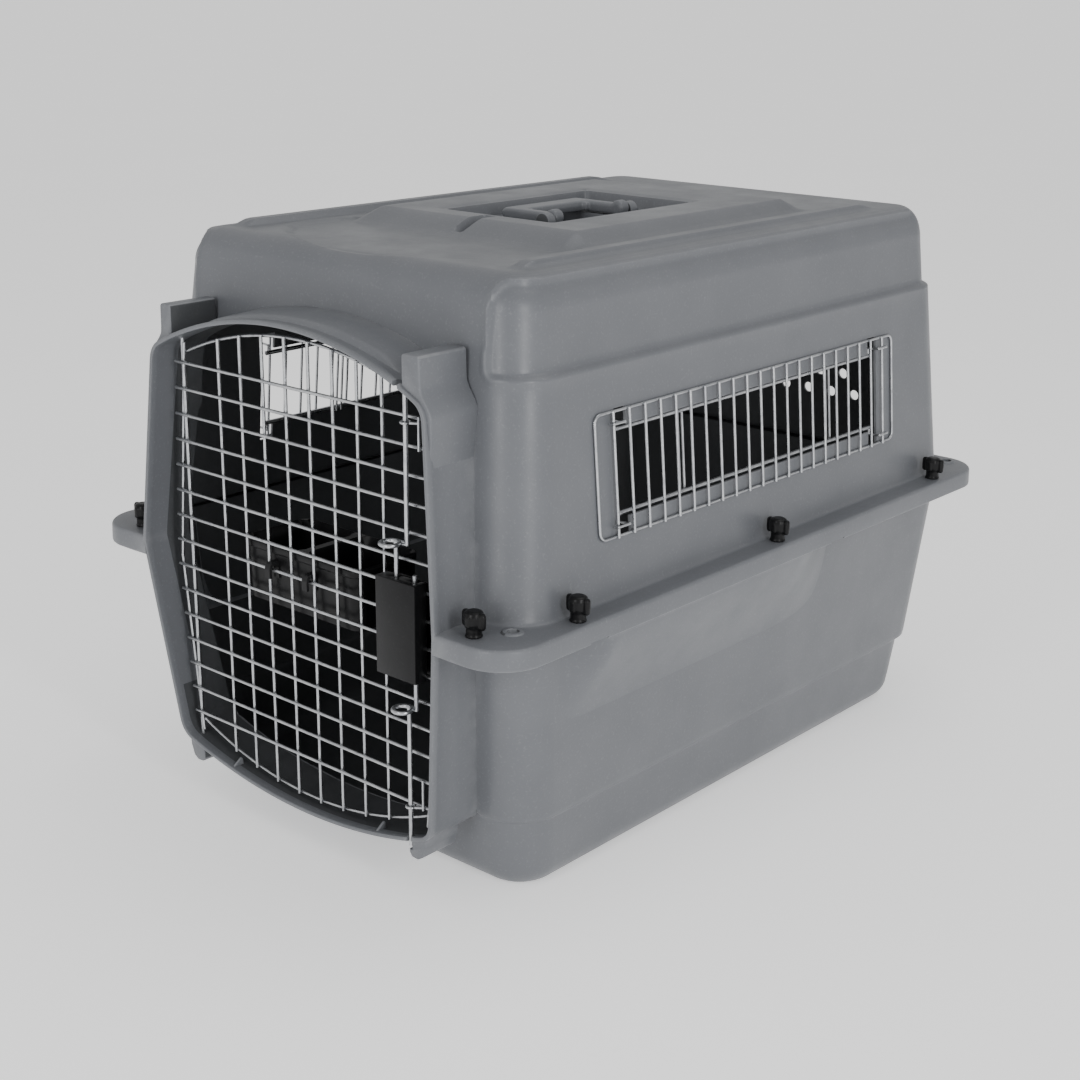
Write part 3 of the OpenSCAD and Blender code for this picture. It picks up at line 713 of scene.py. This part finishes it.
def tub_rings():
    """Rings of the tub's outside, from its foot fillet to the flange's edge."""
    foot = tub_plan(22.0)
    rings = []
    for k in range(0, 9):
        a = math.radians(90 - 90 * k / 8)
        rings.append((TUB_FOOT_R * (1 - math.sin(a)), -math.degrees(a),
                      inset_plan(foot, (TUB_FOOT_R - 2) * (1 - math.cos(a)) ** 0.9, 24.0)))
    rings += [(z, 0, tub_plan(z)) for z in lines(30, TUB_CREASE_Z - 3, 12)]
    low, high = tub_plan(TUB_CREASE_Z - 0.01), tub_plan(TUB_CREASE_Z + 0.01)
    rings += [(TUB_CREASE_Z - 1.5 + k, 0, mix_plan(low, high, smooth(k / 4))) for k in range(5)]
    rings += [(z, 0, tub_plan(z)) for z in lines(TUB_CREASE_Z + 8, 270, 12)]
    wall = tub_plan(272.0)
    flange = (RIM_X - 3.6, -RIM_Y + 3.6, RIM_Y - 3.6, RIM_R - 3.6)
    rings += [(275.4, -90, mix_plan(wall, flange, t)) for t in (0.06, 0.3, 0.65, 0.97)]
    rings += [(276.2, 0, flange)]
    return rings


def build_tub(plastic, shade_paint):
    rings = tub_rings()
    x_marks = lines(-180, 180, 12)
    y_marks = lines(-274, 308, 12)
    foot = rings[0][2]
    cap = (0.0, (foot[0] - 10, foot[1] + 10, foot[2] - 10, 10.0))
    name, bm = loft_shell("tub_skin", list(reversed(rings)), cap, x_marks, y_marks)
    carve(bm, doorway, to_outline)
    skin = new_object(name, bm)
    skin.data.materials.append(plastic)
    # Second slot, for the wall's inner side: painted shade.
    skin.data.materials.append(shade_paint)
    thicken(skin, WALL)
    return skin


def lift_web(side, plastic):
    """Hollow web that carries the tub's wall out to the rim's edge."""
    edge_x = RIM_X - 0.9
    bm = bmesh.new()
    rows = []
    front, rear = WEB_Y[0] - WEB_FADE[0], WEB_Y[1] + WEB_FADE[1]
    ys = lines(front, rear, 6)
    zs = lines(WEB_LOW, SKIRT_Z + 1.6, 5)
    for y in ys:
        taper = smooth((y - front) / 46.0) * smooth((rear - y) / 110.0)
        row = []
        for z in zs:
            wall = tub_plan(z)[0]
            t = min((z - WEB_LOW) / (SKIRT_Z - WEB_LOW), 1.0)
            bulge = mix(smooth(t), t * t, 0.35)
            row.append(bm.verts.new((side * mix(wall - 0.8, edge_x, bulge * taper), y, z)))
        rows.append(row)
    for a, b in zip(rows, rows[1:]):
        for k in range(len(zs) - 1):
            face = (a[k], b[k], b[k + 1], a[k + 1])
            bm.faces.new(face if side > 0 else tuple(reversed(face)))
    bm.normal_update()
    web = new_object("lift_web", bm)
    web.data.materials.append(plastic)
    thicken(web, 2.4, inner_material=0)
    return web


# ---------------------------------------------------------------- small moulded pieces
def remeshed(name, parts, voxel, rounds=4):
    """Blends overlapping closed parts into one moulded-looking solid."""
    obj = join(name, parts)
    mod = obj.modifiers.new("blend", "REMESH")
    mod.mode = "VOXEL"
    mod.voxel_size = voxel
    mod.use_smooth_shade = True
    relax = obj.modifiers.new("relax", "SMOOTH")
    relax.factor = 0.5
    relax.iterations = rounds
    apply_modifiers(obj)
    return obj


def rounded_box(low, high, bevel, segments=3):
    bm = bmesh.new()
    bmesh.ops.create_cube(bm, size=1.0)
    low, high = Vector(low), Vector(high)
    for v in bm.verts:
        v.co = Vector(((v.co[k] + 0.5) * (high[k] - low[k]) + low[k]) for k in range(3))
    bmesh.ops.bevel(bm, geom=bm.edges[:], offset=bevel, segments=segments, profile=0.5,
                    affect="EDGES", clamp_overlap=True)
    return new_object("box", bm)


def turned(profile, at, axis="Z", segments=40):
    """Solid of revolution of (radius, height) points about an axis through at."""
    bm = bmesh.new()
    loops = []
    for r, h in profile:
        loops.append([bm.verts.new((r * math.cos(2 * math.pi * k / segments),
                                    r * math.sin(2 * math.pi * k / segments), h)) for k in range(segments)])
    bridge(bm, loops)
    bm.faces.new(list(reversed(loops[0])))
    bm.faces.new(loops[-1])
    turn = {"Z": Matrix.Identity(4), "Y": Matrix.Rotation(math.radians(-90), 4, "X"),
            "X": Matrix.Rotation(math.radians(90), 4, "Y")}[axis]
    bm.transform(Matrix.Translation(Vector(at)) @ turn)
    bmesh.ops.recalc_face_normals(bm, faces=bm.faces)
    return new_object("turned", bm)


def wing_nut_mesh():
    """Moulded wing nut standing on z = 0, in mm."""
    hub = [(7.6, 0), (7.8, 1.2), (7.0, 2.6), (7.0, 8), (8.8, 12), (9.0, 19), (8.0, 22.4), (5.2, 23.8)]
    wing_tip = [(1.8, 7.6), (3.1, 9.2), (3.5, 14), (3.4, 20.4), (2.2, 22.6)]
    parts = [turned(hub, (0, 0, 0))]
    for s in (-1, 1):
        parts.append(rounded_box((min(s * 3, s * 10.6), -3.4, 8.2), (max(s * 3, s * 10.6), 3.4, 21.8), 2.0))
        parts.append(turned(wing_tip, (s * 9.6, 0, 0), segments=20))
    for s in (-1, 1):
        parts.append(rounded_box((-3.0, min(s * 5, s * 9.6), 9.5), (3.0, max(s * 5, s * 9.6), 20.5), 1.6))
    return remeshed("wing_nut_form", parts, 0.6, 3)


PIVOT_X, HANDLE_Z, GRIP_HALF = 24.0, 586.0, 60.0


def handle_form():
    """Folded grip with its two arms and pivot knuckles."""
    z, half = HANDLE_Z, GRIP_HALF
    bar = [(3.0, -half), (5.0, 1.5 - half), (5.6, 6 - half), (5.6, half - 6), (5.0, half - 1.5), (3.0, half)]
    parts = [turned(bar, (x, 0, z - 0.8), "Y") for x in (-38, -22)]
    parts.append(rounded_box((-38, -half, z - 6.2), (-17, half, z + 4.6), 2.4))
    for s in (-1, 1):
        low, high = sorted((s * 45.5, s * half))
        knuckle = [(5.0, low), (7.4, low + 1.2), (8.2, low + 3),
                   (8.2, high - 3), (7.4, high - 1.2), (5.0, high)]
        parts.append(rounded_box((-26, low, z - 7.0), (PIVOT_X, high, z + 4.6), 3.2))
        parts.append(turned(knuckle, (PIVOT_X, 0, z), "Y"))
        low, high = sorted((s * 40, s * 48))
        parts.append(rounded_box((-20, low, z - 5.4), (-12, high, z + 3.6), 2.4))
    return remeshed("carry_handle_grip", parts, 1.1, 6)


def pivot_boss(side):
    """Upright ear on the well's floor that takes the handle's stub."""
    low, high = sorted((side * 60.8, side * 72.0))
    outline = [(PIVOT_X - 9, 576)] + [(PIVOT_X + 9 * math.cos(a), 583 + 9 * math.sin(a))
                                      for a in (math.radians(180 - 15 * k) for k in range(13))]
    outline += [(PIVOT_X + 9, 576)]
    return prism_y("pivot_boss", outline, low, high, bevel=0.9, segments=2)


def pivot_cap(side):
    """Shaft end seen in the ear's outer face."""
    return turned([(3.4, 0.0), (3.4, 0.5), (2.6, 0.7)], (PIVOT_X, side * 71.6, 583.8), "Y", 24)


BOWL_X, BOWL_HALF, BOWL_Y = -10.0, 82.0, (-378.0, -294.0)
BOWL_TOP, BOWL_LOW = 300.0, 239.0


def bowl_height(x, y):
    """Height of the bowl's inside: two wells side by side under a level rim."""
    middle = (BOWL_Y[0] + BOWL_Y[1]) / 2
    inside = box_depth(abs(x) - 40.5, y - middle, 36.1, -38.2, 38.2, 13.0)
    drop = min(max(inside / 7.0, 0.0), 1.0)
    deep = (BOWL_TOP - BOWL_LOW - 4.0) * mix(drop, smooth(drop), 0.8)
    return BOWL_TOP - 0.2 - deep - 0.6 * smooth(inside / 2.0)


def bowl_form():
    outer = (BOWL_HALF, BOWL_Y[0], BOWL_Y[1], 14.0)
    rings = [(BOWL_LOW + 0.2, 0, inset_plan(outer, 3.4)), (BOWL_LOW + 4, 0, inset_plan(outer, 3.0))]
    rings += [(z, 0, inset_plan(outer, mix(3.0, 1.4, (z - 243) / 48))) for z in (255, 270, 284, 291)]
    rings += [(292, 0, inset_plan(outer, 0.4)), (293.2, 0, outer), (297.4, 0, outer)]
    rings += [(297.4 + 2.6 * math.sin(a), math.degrees(a), inset_plan(outer, 2.6 * (1 - math.cos(a))))
              for a in (math.radians(d) for d in (30, 60, 90))]
    xs = lines(-67, 67, 5, marks=(-4, 0, 4), fine=1.5)
    ys = lines(BOWL_Y[0] + 15, BOWL_Y[1] - 15, 5)
    name, bm = loft_shell("bowl_skin", rings, (BOWL_TOP, (75.0, BOWL_Y[0] + 7.0, BOWL_Y[1] - 7.0, 7.0)),
                          xs, ys, None, bowl_height)
    bowl = new_object(name, bm)
    bowl.data.transform(Matrix.Translation((BOWL_X, 0, 0)))
    thicken(bowl, 2.0, inner_material=0)
    return bowl


WIRE_Z, WIRE_Y = 278.0, -383.5   # level door wire that the bowl hangs on
WIRE_PITCH_X, WIRE_PITCH_Z = 31.75, 26.08


def bowl_hook(x, width=7.0):
    """Hook that arches over a level door wire and runs back to the bowl."""
    outer = [(WIRE_Y - 5.4, WIRE_Z - 8), (WIRE_Y - 5.4, WIRE_Z)]
    outer += [(WIRE_Y - 5.4 * math.cos(a), WIRE_Z + 7.2 * math.sin(a))
              for a in (math.radians(15 * k) for k in range(1, 8))]
    outer += [(BOWL_Y[0] + 3.0, WIRE_Z + 7.6), (BOWL_Y[0] + 3.0, WIRE_Z - 10)]
    inner = [(BOWL_Y[0] + 0.4, WIRE_Z - 10), (BOWL_Y[0] + 0.4, WIRE_Z + 1)]
    inner += [(WIRE_Y - 2.4 * math.cos(a), WIRE_Z + 4.0 * math.sin(a))
              for a in (math.radians(15 * k) for k in range(8, -1, -1))]
    inner += [(WIRE_Y - 2.4, WIRE_Z - 8)]
    outline = outer + inner
    bm = prism([(x - width / 2, y, z) for y, z in outline], [(x + width / 2, y, z) for y, z in outline])
    return new_object("bowl_hook", bm)


def label_form():
    """Blank film label with rounded corners, lying on the roof."""
    low, high = (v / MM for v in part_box("blank_label"))
    r, steps = 4.0, 6
    outline = []
    for cx, cy, start in ((high.x - r, high.y - r, 0), (low.x + r, high.y - r, 90),
                          (low.x + r, low.y + r, 180), (high.x - r, low.y + r, 270)):
        outline += [(cx + r * math.cos(math.radians(start + 90 * k / steps)),
                     cy + r * math.sin(math.radians(start + 90 * k / steps))) for k in range(steps + 1)]
    bm = prism([(x, y, high.z + 0.1) for x, y in outline], [(x, y, low.z - 0.2) for x, y in outline])
    upper = [e for e in bm.edges if all(v.co.z > high.z for v in e.verts)]
    bmesh.ops.bevel(bm, geom=upper, offset=0.15, segments=2, profile=0.5, affect="EDGES")
    return new_object("label_film", bm)


def softened(node, name, width):
    """Copy of a CAD node with its hard edges rounded."""
    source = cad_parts[node]
    bm = bmesh.new()
    bm.from_mesh(source.data)
    bm.transform(source.matrix_world)
    bmesh.ops.remove_doubles(bm, verts=bm.verts, dist=0.00001)
    bmesh.ops.dissolve_limit(bm, angle_limit=math.radians(1.0), verts=bm.verts, edges=bm.edges)
    obj = new_object(name, bm)
    mod = obj.modifiers.new("round", "BEVEL")
    mod.width = width
    mod.segments = 2
    mod.limit_method = "ANGLE"
    mod.angle_limit = math.radians(40)
    apply_modifiers(obj)
    for polygon in obj.data.polygons:
        polygon.use_smooth = True
    return shade_by_angle(obj, 50)


def weld_spots():
    """Small flattened beads where the door's wires cross."""
    rng = random.Random(7)
    bm = bmesh.new()
    for row in range(-7, 8):
        z = WIRE_Z + WIRE_PITCH_Z * row
        for column in range(8):
            x = (column - 3.5) * WIRE_PITCH_X
            turn = Matrix.Rotation(rng.uniform(0, 3.1), 4, "Y")
            size = Matrix.Diagonal((rng.uniform(1.7, 2.1), 1.25, rng.uniform(1.6, 2.0), 1.0))
            place = Matrix.Translation((x, -382.0, z))
            bmesh.ops.create_icosphere(bm, subdivisions=2, radius=1.0, matrix=place @ turn @ size)
        curl = Matrix.Translation((HINGE_X, HINGE_Y - 0.9, z)) @ Matrix.Diagonal((3.0, 3.2, 1.8, 1.0))
        bmesh.ops.create_icosphere(bm, subdivisions=2, radius=1.0, matrix=curl)
    return new_object("door_welds", bm)


# ---------------------------------------------------------------- materials
class Surface:
    """Small builder for a Principled material made of procedural nodes."""

    def __init__(self, name):
        self.material = bpy.data.materials.new(name)
        self.material.use_nodes = True
        self.tree = self.material.node_tree
        self.shader = self.tree.nodes["Principled BSDF"]
        self.place = self.add("ShaderNodeTexCoord").outputs["Object"]

    def add(self, kind, **settings):
        node = self.tree.nodes.new(kind)
        for key, value in settings.items():
            setattr(node, key, value)
        return node

    def link(self, a, b):
        self.tree.links.new(a, b)

    def noise(self, scale, detail=3.0, rough=0.5, stretch=None):
        """Noise of so many features per metre, stretched along an axis if asked."""
        node = self.add("ShaderNodeTexNoise")
        node.inputs["Scale"].default_value = scale
        node.inputs["Detail"].default_value = detail
        node.inputs["Roughness"].default_value = rough
        if stretch:
            mapping = self.add("ShaderNodeMapping")
            mapping.inputs["Scale"].default_value = stretch
            self.link(self.place, mapping.inputs["Vector"])
            self.link(mapping.outputs["Vector"], node.inputs["Vector"])
        else:
            self.link(self.place, node.inputs["Vector"])
        return node.outputs["Fac"]

    def remap(self, value, from_low, from_high, to_low, to_high):
        node = self.add("ShaderNodeMapRange", clamp=True)
        keys = ("From Min", "From Max", "To Min", "To Max")
        for key, number in zip(keys, (from_low, from_high, to_low, to_high)):
            node.inputs[key].default_value = number
        self.link(value, node.inputs["Value"])
        return node.outputs["Result"]

    def blend(self, share, a, b):
        """Colour between a and b, each a colour or another output."""
        node = self.add("ShaderNodeMix", data_type="RGBA")
        self.link(share, node.inputs[0])
        for index, value in ((6, a), (7, b)):
            if isinstance(value, tuple):
                node.inputs[index].default_value = (*value, 1.0)
            else:
                self.link(value, node.inputs[index])
        return node.outputs[2]

    def both(self, a, b):
        node = self.add("ShaderNodeMath", operation="MULTIPLY")
        self.link(a, node.inputs[0])
        self.link(b, node.inputs[1])
        return node.outputs[0]

    def worn_edges(self, low, high):
        """Share that rises on the convex edges of a dense mesh."""
        geometry = self.add("ShaderNodeNewGeometry")
        return self.remap(geometry.outputs["Pointiness"], low, high, 0.0, 1.0)

    def bump(self, layers):
        """Stacks (height, strength, distance in metres) layers of bump."""
        normal = None
        for height, strength, distance in layers:
            node = self.add("ShaderNodeBump")
            node.inputs["Strength"].default_value = strength
            node.inputs["Distance"].default_value = distance
            self.link(height, node.inputs["Height"])
            if normal:
                self.link(normal, node.inputs["Normal"])
            normal = node.outputs["Normal"]
        self.link(normal, self.shader.inputs["Normal"])

    def set(self, **values):
        for key, value in values.items():
            socket = self.shader.inputs[key.replace("_", " ")]
            if hasattr(value, "is_output"):
                self.link(value, socket)
            else:
                socket.default_value = value
        return self.material


def moulded_plastic(name, light, deep, scuff, rough=(0.40, 0.56), edge=0.25, grain=1.0, gloss=0.42):
    """Injection-moulded polypropylene: mottled colour, fine grain, scuffs and paler edges."""
    s = Surface(name)
    mottle = s.remap(s.noise(7.0, 4.0, 0.6), 0.35, 0.65, 0.0, 1.0)
    colour = s.blend(mottle, light, deep)
    speck = s.remap(s.noise(420.0, 2.0), 0.58, 0.72, 0.0, 0.22)
    colour = s.blend(speck, colour, scuff)
    streaks = s.remap(s.noise(30.0, 5.0, 0.65, (1.0, 1.0, 9.0)), 0.63, 0.80, 0.0, 0.30)
    patch = s.remap(s.noise(4.5, 2.0), 0.46, 0.62, 0.0, 1.0)
    colour = s.blend(s.both(streaks, patch), colour, scuff)
    wear = s.both(s.worn_edges(0.53, 0.60), s.remap(s.noise(60.0, 4.0), 0.35, 0.6, 0.2, edge * 2))
    colour = s.blend(wear, colour, scuff)
    roughness = s.remap(s.noise(16.0, 4.0, 0.6), 0.3, 0.7, rough[0], rough[1])
    s.bump([(s.noise(9.0, 2.0), 0.12, 0.004), (s.noise(950.0, 2.0, 0.6), 0.16 * grain, 0.0004),
            (s.noise(2600.0, 1.0), 0.10 * grain, 0.0002)])
    return s.set(Base_Color=colour, Roughness=roughness, Specular_IOR_Level=gloss)


def plated_wire(name, light, deep, rough=(0.24, 0.42)):
    """Bright zinc-plated steel: cloudy plating, fine drawing marks and dull spots."""
    s = Surface(name)
    cloud = s.remap(s.noise(55.0, 4.0, 0.6), 0.35, 0.65, 0.0, 1.0)
    colour = s.blend(cloud, light, deep)
    dull = s.remap(s.noise(160.0, 3.0), 0.60, 0.72, 0.0, 0.5)
    colour = s.blend(dull, colour, tuple(0.55 * v for v in deep))
    roughness = s.remap(s.noise(90.0, 4.0, 0.7), 0.3, 0.7, rough[0], rough[1])
    s.bump([(s.noise(700.0, 3.0), 0.18, 0.0003), (s.noise(2400.0, 1.0), 0.10, 0.0001)])
    return s.set(Base_Color=colour, Roughness=roughness, Metallic=1.0)


def paper_film(name, light, deep):
    """Blank film label: faint cloudiness, lifted wrinkles and a satin face."""
    s = Surface(name)
    colour = s.blend(s.remap(s.noise(40.0, 3.0), 0.35, 0.65, 0.0, 1.0), light, deep)
    roughness = s.remap(s.noise(120.0, 3.0), 0.3, 0.7, 0.34, 0.5)
    s.bump([(s.noise(34.0, 2.0), 0.15, 0.0008), (s.noise(1400.0, 2.0), 0.08, 0.0001)])
    return s.set(Base_Color=colour, Roughness=roughness, Specular_IOR_Level=0.4)


def paper_floor(name):
    """Pale paper that glows a little, so that it stays near white."""
    s = Surface(name)
    cloud = s.remap(s.noise(1.5, 3.0), 0.3, 0.7, 0.0, 1.0)
    colour = s.blend(cloud, (0.93, 0.93, 0.93), (0.91, 0.91, 0.91))
    return s.set(Base_Color=colour, Roughness=0.85, Specular_IOR_Level=0.1,
                 Emission_Color=(1.0, 1.0, 1.0, 1.0), Emission_Strength=0.5)


shell_grey = moulded_plastic("shell_grey", (0.137, 0.143, 0.155), (0.120, 0.126, 0.138), (0.255, 0.26, 0.27),
                             rough=(0.30, 0.44))
# Grey plastic darkened to stand for the shade inside the cabin: painted shade over the shell's own mottle and
# scuffs.
shell_inner = moulded_plastic("shell_inner", (0.060, 0.063, 0.067), (0.048, 0.051, 0.055),
                              (0.10, 0.10, 0.105), rough=(0.55, 0.7), edge=0.0)
black_plastic = moulded_plastic("black_plastic_moulded", (0.007, 0.007, 0.0075), (0.005, 0.005, 0.0055),
                                (0.030, 0.030, 0.032), rough=(0.26, 0.40), edge=0.15, grain=0.5, gloss=0.18)
zinc_wire = plated_wire("zinc_wire", (0.56, 0.57, 0.58), (0.42, 0.43, 0.45))
dark_steel = plated_wire("bolt_steel_dull", (0.50, 0.50, 0.51), (0.36, 0.36, 0.37), rough=(0.32, 0.5))
label_white = paper_film("label_film_white", (0.72, 0.72, 0.71), (0.66, 0.66, 0.655))


# ---------------------------------------------------------------- assembly
def paint(obj, material):
    obj.data.materials.clear()
    obj.data.materials.append(material)
    return obj


def holes(places, radius, axis, low, high):
    """One cutter of parallel rods through the places."""
    bm = bmesh.new()
    turn = Matrix.Identity(4) if axis == "Z" else Matrix.Rotation(math.radians(90), 4, "X")
    for a, b in places:
        middle = (low + high) / 2
        spot = (a, b, middle) if axis == "Z" else (a, middle, b)
        bmesh.ops.create_cone(bm, segments=28, radius1=radius, radius2=radius, depth=high - low,
                              cap_ends=True, matrix=Matrix.Translation(spot) @ turn)
    return new_object("holes", bm)


TIE_R, VENT_R = 5.5, 6.0
TIE_HOLES = [(side * 248.0, y) for side in (-1, 1) for y in (-362.0, 392.0)]
VENTS = [((i - (8 - row) / 2) * 32.0, 345.0 + 24.0 * row) for row in range(5) for i in range(9 - row)]


def tie_ring(x, y):
    """Raised ring moulded round a tie-down hole."""
    bm = bmesh.new()
    profile = [(TIE_R, RIM_Z - 1), (TIE_R, RIM_Z + 0.9), (6.1, RIM_Z + 1.4), (8.6, RIM_Z + 1.4),
               (9.6, RIM_Z + 0.9), (10.6, RIM_Z - 0.2), (10.6, RIM_Z - 1)]
    angles = [math.radians(10 * k) for k in range(36)]
    loops = [[bm.verts.new((x + r * math.cos(a), y + r * math.sin(a), z)) for a in angles]
             for r, z in profile]
    bridge(bm, loops + loops[:1])
    bmesh.ops.recalc_face_normals(bm, faces=bm.faces)
    return new_object("tie_ring", bm)


def skirt_notches():
    """Short slots in the skirt's lower edge at the ends of each lift web."""
    slots = [rounded_box((x - 9, y, SKIRT_Z - 2), (x + 9, y + 24, SKIRT_Z + 2.0), 0.2, 1)
             for x in (-RIM_X, RIM_X) for y in (WEB_Y[0] - 26, WEB_Y[1] + 8)]
    return join("skirt_notches", slots)


def cover_piece():
    skin = cut(build_cover(shell_grey, shell_inner), [holes(TIE_HOLES, TIE_R, "Z", 255, 290),
                                                      holes(VENTS, VENT_R, "Y", 350, 400), skirt_notches()])
    collar = cut(surround("cover_collar", 1), [notch_cutter(*UPPER_NOTCH)])
    band = cut(brow_band(), [notch_cutter(*UPPER_NOTCH)])
    blocks = [upper_socket(-1), upper_socket(1)]
    for block in blocks:
        cut(block, [doorway_cutter(WALL - 0.2), bore_cutter(*UPPER_BORE)])
    extras = [collar, band, *blocks, *(pivot_boss(s) for s in (-1, 1)), *(tie_ring(*p) for p in TIE_HOLES)]
    caps = [pivot_cap(s) for s in (-1, 1)]
    for piece in extras:
        # Inward faces behind the door take the painted shade.
        paint_inside_shade(paint(piece, shell_grey), shell_inner)
    for piece in caps:
        paint(piece, black_plastic)
    cover = join("cover_shell", [skin, *extras, *caps])
    return shade_by_angle(scale_to_metres(cover), 38)


def tub_piece():
    skin = cut(build_tub(shell_grey, shell_inner), [holes(TIE_HOLES, TIE_R, "Z", 255, 290)])
    collar = cut(surround("tub_collar", -1), [notch_cutter(*LOWER_BORE)])
    blocks = [lower_socket(-1), lower_socket(1)]
    cut(blocks[0], [doorway_cutter(WALL - 0.2), bore_cutter(*LOWER_BORE)])
    cut(blocks[1], [doorway_cutter(WALL - 0.2), notch_cutter(*LOWER_BORE)])
    extras = [collar, *blocks, *(gusset(x) for x in (-104, 104))]
    for piece in extras:
        # Inward faces behind the door take the painted shade.
        paint_inside_shade(paint(piece, shell_grey), shell_inner)
    webs = [lift_web(side, shell_grey) for side in (-1, 1)]
    tub = join("tub_shell", [skin, *extras, *webs])
    return shade_by_angle(scale_to_metres(tub), 38)


def settle(piece, body, slot_name, *nodes):
    """Puts a finished piece on its body, in place of the CAD nodes named."""
    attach(piece, body)
    if nodes:
        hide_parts(*nodes)


settle(cover_piece(), "shell", "shell_plastic", "top_cover")
settle(tub_piece(), "shell", "shell_plastic", "base_tub")

grip = paint(scale_to_metres(handle_form()), shell_grey)
settle(grip, "handle", "shell_plastic", "carry_handle")

bowl = join("feeding_bowl", [bowl_form(), bowl_hook(-42.0), bowl_hook(10.5)])
settle(shade_by_angle(scale_to_metres(paint(bowl, black_plastic)), 40), "bowl", "black_plastic", "twin_bowl")

label = scale_to_metres(paint(label_form(), label_white))
settle(shade_by_angle(label, 40), "shell", "label_film", "blank_label")

welds = scale_to_metres(paint(weld_spots(), zinc_wire))
settle(welds, "door", "wire")

nut_form = paint(scale_to_metres(wing_nut_mesh()), black_plastic)
for node in sorted(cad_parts):
    if node.startswith("wing_nut_"):
        low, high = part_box(node)
        nut = bpy.data.objects.new(node + "_moulded", nut_form.data)
        bpy.context.scene.collection.objects.link(nut)
        nut.location = ((low.x + high.x) / 2, (low.y + high.y) / 2, low.z)
        settle(nut, node.replace("wing_", ""), "black_plastic", node)
bpy.data.objects.remove(nut_form)

casing = softened("latch_housing", "latch_casing", 0.0014)
settle(paint(casing, black_plastic), "door", "black_plastic", "latch_housing")

KEPT = {zinc_wire: ("door_mesh", "hinge_rod", "upper_latch_rod", "lower_latch_rod", "window_grille_right",
                    "window_grille_left", "window_clip_right", "window_clip_left"),
        dark_steel: ("upper_latch_spring", "lower_latch_spring", "rim_bolts"),
        black_plastic: ("latch_back_plate",)}
for material, nodes in KEPT.items():
    for node in nodes:
        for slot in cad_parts[node].material_slots:
            slot.material = material


# ---------------------------------------------------------------- floor, light and camera
LIT_POINT = Vector((0.0, 0.0, 0.3))


def floor():
    bm = bmesh.new()
    bmesh.ops.create_grid(bm, x_segments=1, y_segments=1, size=60.0)
    obj = new_object("floor", bm)
    obj.data.materials.append(paper_floor("floor_paper"))


def area_light(name, at, size, power):
    light = bpy.data.lights.new(name, "AREA")
    light.shape = "RECTANGLE"
    light.size, light.size_y = size
    light.energy = power
    obj = bpy.data.objects.new(name, light)
    obj.location = at
    obj.rotation_euler = (LIT_POINT - Vector(at)).to_track_quat("-Z", "Y").to_euler()
    bpy.context.scene.collection.objects.link(obj)


floor()
area_light("key_top", (0.4, 0.5, 2.7), (1.8, 1.4), 12.0)
area_light("strip_right", (2.35, -0.95, 1.0), (0.28, 1.5), 22.0)
area_light("strip_front", (0.42, -2.55, 1.0), (0.28, 1.5), 16.0)
area_light("fill_left", (-2.4, -1.6, 1.2), (1.6, 1.6), 4.0)

world = bpy.data.worlds.new("studio_white")
world.use_nodes = True
sky = world.node_tree.nodes["Background"]
sky.inputs["Color"].default_value = (1.0, 1.0, 1.0, 1.0)
sky.inputs["Strength"].default_value = 0.63
bpy.context.scene.world = world


def photo_camera():
    """Camera at the photograph's viewing angle."""
    place = Vector((1.1878, -1.4061, 0.8245))
    azimuth, elevation, roll = math.radians(41.06), math.radians(18.05), math.radians(0.58)
    back = Vector((math.sin(azimuth) * math.cos(elevation), -math.cos(azimuth) * math.cos(elevation),
                   math.sin(elevation)))
    right = Vector((math.cos(azimuth), math.sin(azimuth), 0.0))
    up = back.cross(right)
    side = right * math.cos(roll) + up * math.sin(roll)
    top = back.cross(side)
    data = bpy.data.cameras.new("camera")
    data.lens, data.sensor_width = 58.43, 36.0
    obj = bpy.data.objects.new("camera", data)
    bpy.context.scene.collection.objects.link(obj)
    obj.matrix_world = Matrix.Translation(place) @ Matrix((side, top, back)).transposed().to_4x4()
    bpy.context.scene.camera = obj


photo_camera()
